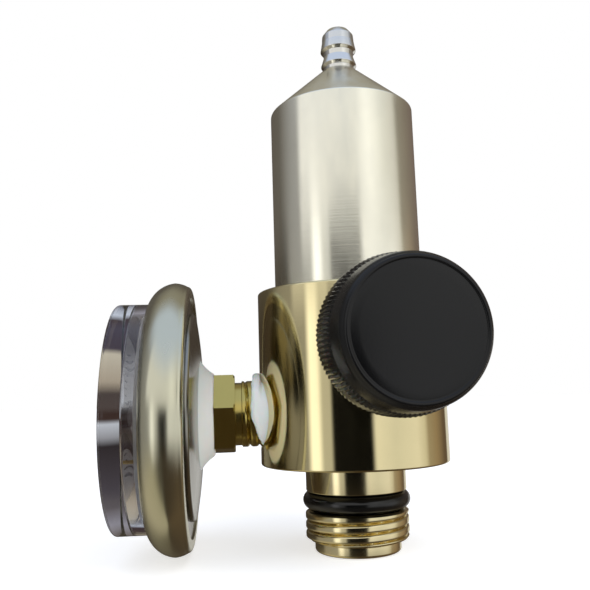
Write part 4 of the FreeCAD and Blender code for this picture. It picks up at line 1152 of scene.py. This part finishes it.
def make_tape():
    """A few turns of white sealing tape, bunched towards the body, with a loose flap."""
    low, high = along_gauge("thread_tape")
    rows = 26
    inner = TAPE_R - 0.35
    tucked = low - 0.6

    def crown(share):
        return TAPE_CROWN * min(1.0, (1.0 - share) * 6) ** 0.5

    outer = [(TAPE_R + crown(k / rows), z) for k, z in enumerate(evenly(low, high, rows))]
    profile = [(inner, tucked), (TAPE_R + 0.3, tucked), *outer, (inner, high)]

    def wrinkled(radius, angle, z, index):
        if index in (0, len(profile) - 1):
            return radius
        swirl = Vector((math.cos(angle) * 1.3, math.sin(angle) * 1.3, z * 1.1 + angle * 0.5))
        wrinkle = sum(noise.noise(swirl * fine) * high for fine, high in TAPE_WRINKLES)
        outside = clamped((z - CLEAR_OF_BODY) / 0.4)
        lift = TAPE_LIFT * max(0.0, math.cos(angle)) ** 2 * outside
        return min(radius + wrinkle, TAPE_IN_PORT_R) + lift

    mesh = revolve(profile, GAUGE_AXIS, segments=220, shape_of=wrinkled)
    to_gauge = GAUGE_AXIS.inverted()
    near_side = -math.pi / 2
    for vertex in mesh.vertices:
        x, y, z = (to_gauge @ vertex.co) / MM
        if z <= low:
            continue
        turn = math.atan2(y, x)
        away = abs(math.remainder(turn - near_side, 2 * math.pi))
        flap = max(0.0, 1 - away / TAPE_FLAP_TURN)
        ragged = noise.noise(Vector((x, y, 3.0)) * TAPE_RAGGED[0]) * TAPE_RAGGED[1]
        edge = low + TAPE_WIDTH + TAPE_SLANT * math.cos(turn) + TAPE_FLAP * flap + ragged
        share = (z - low) / (high - low)
        vertex.co = GAUGE_AXIS @ (Vector((x, y, low + share * (min(edge, high) - low))) * MM)
    finish_piece("sealing_tape", mesh, "ptfe_tape", ["thread_tape"], sharp=60)


CONE_SMALL_R = 6.3
CONE_LARGE_R = 8.3
CONE_FLARE = 6.0
GAUGE_HOLE_R = 4.0


def make_cone():
    """White boss that flares towards the case."""
    start, end = along_gauge("gauge_cone")
    edge = (CONE_SMALL_R, start + 0.12)
    profile = [(GAUGE_HOLE_R, start), (CONE_SMALL_R - 0.2, start), edge,
               *arc(edge, (CONE_LARGE_R, end), -CONE_FLARE, steps=14), (GAUGE_HOLE_R, end)]
    mesh = revolve(profile, GAUGE_AXIS)
    finish_piece("white_cone", mesh, "cone_white", ["gauge_cone"], sharp=40)


CASE_R = span("gauge_case", 1)[1]
CASE_SHEET = 0.7
CASE_BACK_R = 15.7
CASE_BACK_RISE = 0.75
CASE_BACK_BEND = 60.0
CASE_CORNER = 0.5
CASE_FLANGE = 25.3


def make_case():
    """Pressed case: rounded back, step and side wall."""
    start, end = along_gauge("gauge_case")
    back_end = start + CASE_BACK_RISE
    rim = (CASE_BACK_R - CASE_CORNER, back_end)
    dome = [*arc((CONE_LARGE_R, start), rim, CASE_BACK_BEND, steps=8),
            *arc(rim, (CASE_BACK_R, back_end + CASE_CORNER), CASE_CORNER, steps=8)]
    walls = fillet_profile([
        dome[-1],
        (CASE_BACK_R, CASE_FLANGE, 0.05),
        (CASE_R, CASE_FLANGE, 0.05),
        (CASE_R, end),
        (CASE_R - CASE_SHEET, end),
        (CASE_R - CASE_SHEET, CASE_FLANGE + CASE_SHEET),
        (CASE_BACK_R - CASE_SHEET, CASE_FLANGE + CASE_SHEET),
        (CASE_BACK_R - CASE_SHEET, back_end + CASE_SHEET),
        (CONE_LARGE_R, start + CASE_SHEET),
        (GAUGE_HOLE_R, start + CASE_SHEET),
    ], steps=8)
    profile = [(GAUGE_HOLE_R, start), (CONE_LARGE_R, start), *dome, *walls[1:]]
    mesh = revolve(profile, GAUGE_AXIS)
    finish_piece("pressed_case", mesh, "case_metal", ["gauge_case"], sharp=35)


BEZEL_BACK_R = 19.3
BEZEL_CORNER_R = 19.95
BEZEL_WIDEST = 27.35
BEZEL_TOP_R = 17.9
BEZEL_LIP_R = 17.35
BEZEL_LIP = (0.15, 0.6)
BEZEL_SHEET = 0.65


def make_bezel():
    """Rolled rim that holds the lens."""
    start, end = along_gauge("gauge_bezel")
    back = (BEZEL_BACK_R, start)
    corner = (BEZEL_CORNER_R, start + 0.5)
    widest = (BEZEL_R, BEZEL_WIDEST)
    outer = [back, *arc(back, corner, 0.6, 8), *arc(corner, widest, 4.0, 10),
             *arc(widest, (BEZEL_TOP_R, end), 4.4, 20)]
    lip = [(BEZEL_LIP_R, end - depth) for depth in BEZEL_LIP]
    profile = [*outer, *lip, (CASE_R, end - BEZEL_SHEET), (CASE_R, start)]
    mesh = revolve(profile, GAUGE_AXIS, segments=256)
    finish_piece("rolled_bezel", mesh, "bezel_nickel", ["gauge_bezel"], sharp=40)


WINDOW_R = 17.3
WINDOW_WALL = 1.4
WINDOW_FLANGE = 0.4
WINDOW_INSIDE = 33.4


def make_window():
    """Clear cup lens with its flange under the bezel."""
    start, end = along_gauge("gauge_window")
    inner = WINDOW_R - WINDOW_WALL
    flange_r = span("gauge_window", 1)[1]
    outside = fillet_profile([
        (inner, start),
        (flange_r, start),
        (flange_r, start + WINDOW_FLANGE),
        (WINDOW_R, start + WINDOW_FLANGE, 0.1),
        (WINDOW_R, end, 0.45),
        (0, end),
    ])
    inside = fillet_profile([(0, WINDOW_INSIDE), (inner, WINDOW_INSIDE, 0.35), (inner, start)])
    profile = [*outside, *inside[:-1]]
    mesh = revolve(profile, GAUGE_AXIS, segments=256)
    finish_piece("clear_window", mesh, "lens_clear", ["gauge_window"], sharp=35)


# ---------------------------------------------------------------- dial

DIAL_START = 135
DIAL_SWEEP = 270
DIAL_DIVISIONS = 50
DIAL_STEPS = 5
DIAL_FULL_SCALE = 1000
TICK_R = 14.0
NUMBER_R = 10.1
NUMBER_SIZE = 2.3
NUMBER_RAISED = 0.015
PRINT_GAP = 0.02
PRINT_THICKNESS = 0.03
# Length and half width of the ticks at numbers, half way between them, and at the rest.
TICK_AT_NUMBER = (2.2, 0.16)
TICK_HALF_WAY = (1.6, 0.08)
TICK_SMALL = (1.0, 0.08)


def dial_direction(share):
    """Unit vector from the pointer's axis to a share of the scale."""
    angle = math.radians(DIAL_START - DIAL_SWEEP * share)
    return Vector((math.cos(angle), math.sin(angle), 0))


def make_ticks(face):
    """The scale's ticks, printed at a height on the gauge's axis."""
    per_number = DIAL_DIVISIONS // DIAL_STEPS
    shape = bmesh.new()
    for k in range(DIAL_DIVISIONS + 1):
        length, half = TICK_SMALL
        if k % per_number == 0:
            length, half = TICK_AT_NUMBER
        elif k % (per_number // 2) == 0:
            length, half = TICK_HALF_WAY
        outward = dial_direction(k / DIAL_DIVISIONS)
        side = Vector((-outward.y, outward.x, 0)) * half
        outer_end, inner_end = outward * TICK_R, outward * (TICK_R - length)
        corners = [outer_end + side, inner_end + side, inner_end - side, outer_end - side]
        add_loft(shape, [
            [shape.verts.new(GAUGE_AXIS @ ((c + Vector((0, 0, z))) * MM)) for c in corners]
            for z in (face, face + PRINT_THICKNESS)
        ])
    finish_piece("dial_ticks", outward_mesh(shape, "ticks"), "pointer_black")


def make_number(k, face):
    """One plain upright number beside its tick."""
    text = bpy.data.curves.new("number", "FONT")
    text.body = str(DIAL_FULL_SCALE // DIAL_STEPS * k)
    text.size = NUMBER_SIZE * MM
    text.align_x = "CENTER"
    text.align_y = "CENTER"
    text.extrude = NUMBER_RAISED * MM
    holder = add_object("number", text)
    graph = bpy.context.evaluated_depsgraph_get()
    number = bpy.data.meshes.new_from_object(holder.evaluated_get(graph))
    bpy.data.objects.remove(holder)
    spot = (dial_direction(k / DIAL_STEPS) * NUMBER_R + Vector((0, 0, face + PRINT_GAP))) * MM
    upright = Matrix.Rotation(-math.pi / 2, 4, "Z")
    number.transform(GAUGE_AXIS @ Matrix.Translation(spot) @ upright)
    finish_piece(f"dial_number_{k}", number, "pointer_black")


def make_dial_marks():
    """Printed scale: ticks and plain numbers."""
    face = along_gauge("gauge_dial")[1] + PRINT_GAP
    make_ticks(face)
    for k in range(DIAL_STEPS + 1):
        make_number(k, face)


# ---------------------------------------------------------------- CAD nodes that stay


def dress_cad_nodes():
    """Gives every CAD node the procedural material of its slot."""
    slots = {entry["node"]: entry["material_slot"] for entry in frame["record"]["subparts"]}
    for node, piece in frame["nodes"].items():
        material = MATERIALS[slots[node]]
        if not piece.material_slots:
            piece.data.materials.append(material)
        for slot in piece.material_slots:
            slot.material = material


# ---------------------------------------------------------------- build

make_camera()
make_world()
make_light("key", (0.25, -0.45, 0.5), 0.3, 1.2)
make_light("fill", (-0.45, -0.35, 0.3), 0.4, 0.6, (1.0, 0.98, 0.95))
make_stage()
dress_cad_nodes()
for make in (
    make_nipple, make_o_ring, make_lower_body, make_bonnet, make_barb, make_spring, make_knob,
    make_gauge_socket, make_tape, make_cone, make_case, make_bezel, make_window, make_dial_marks,
):
    make()
bpy.context.scene.view_settings.view_transform = "Standard"
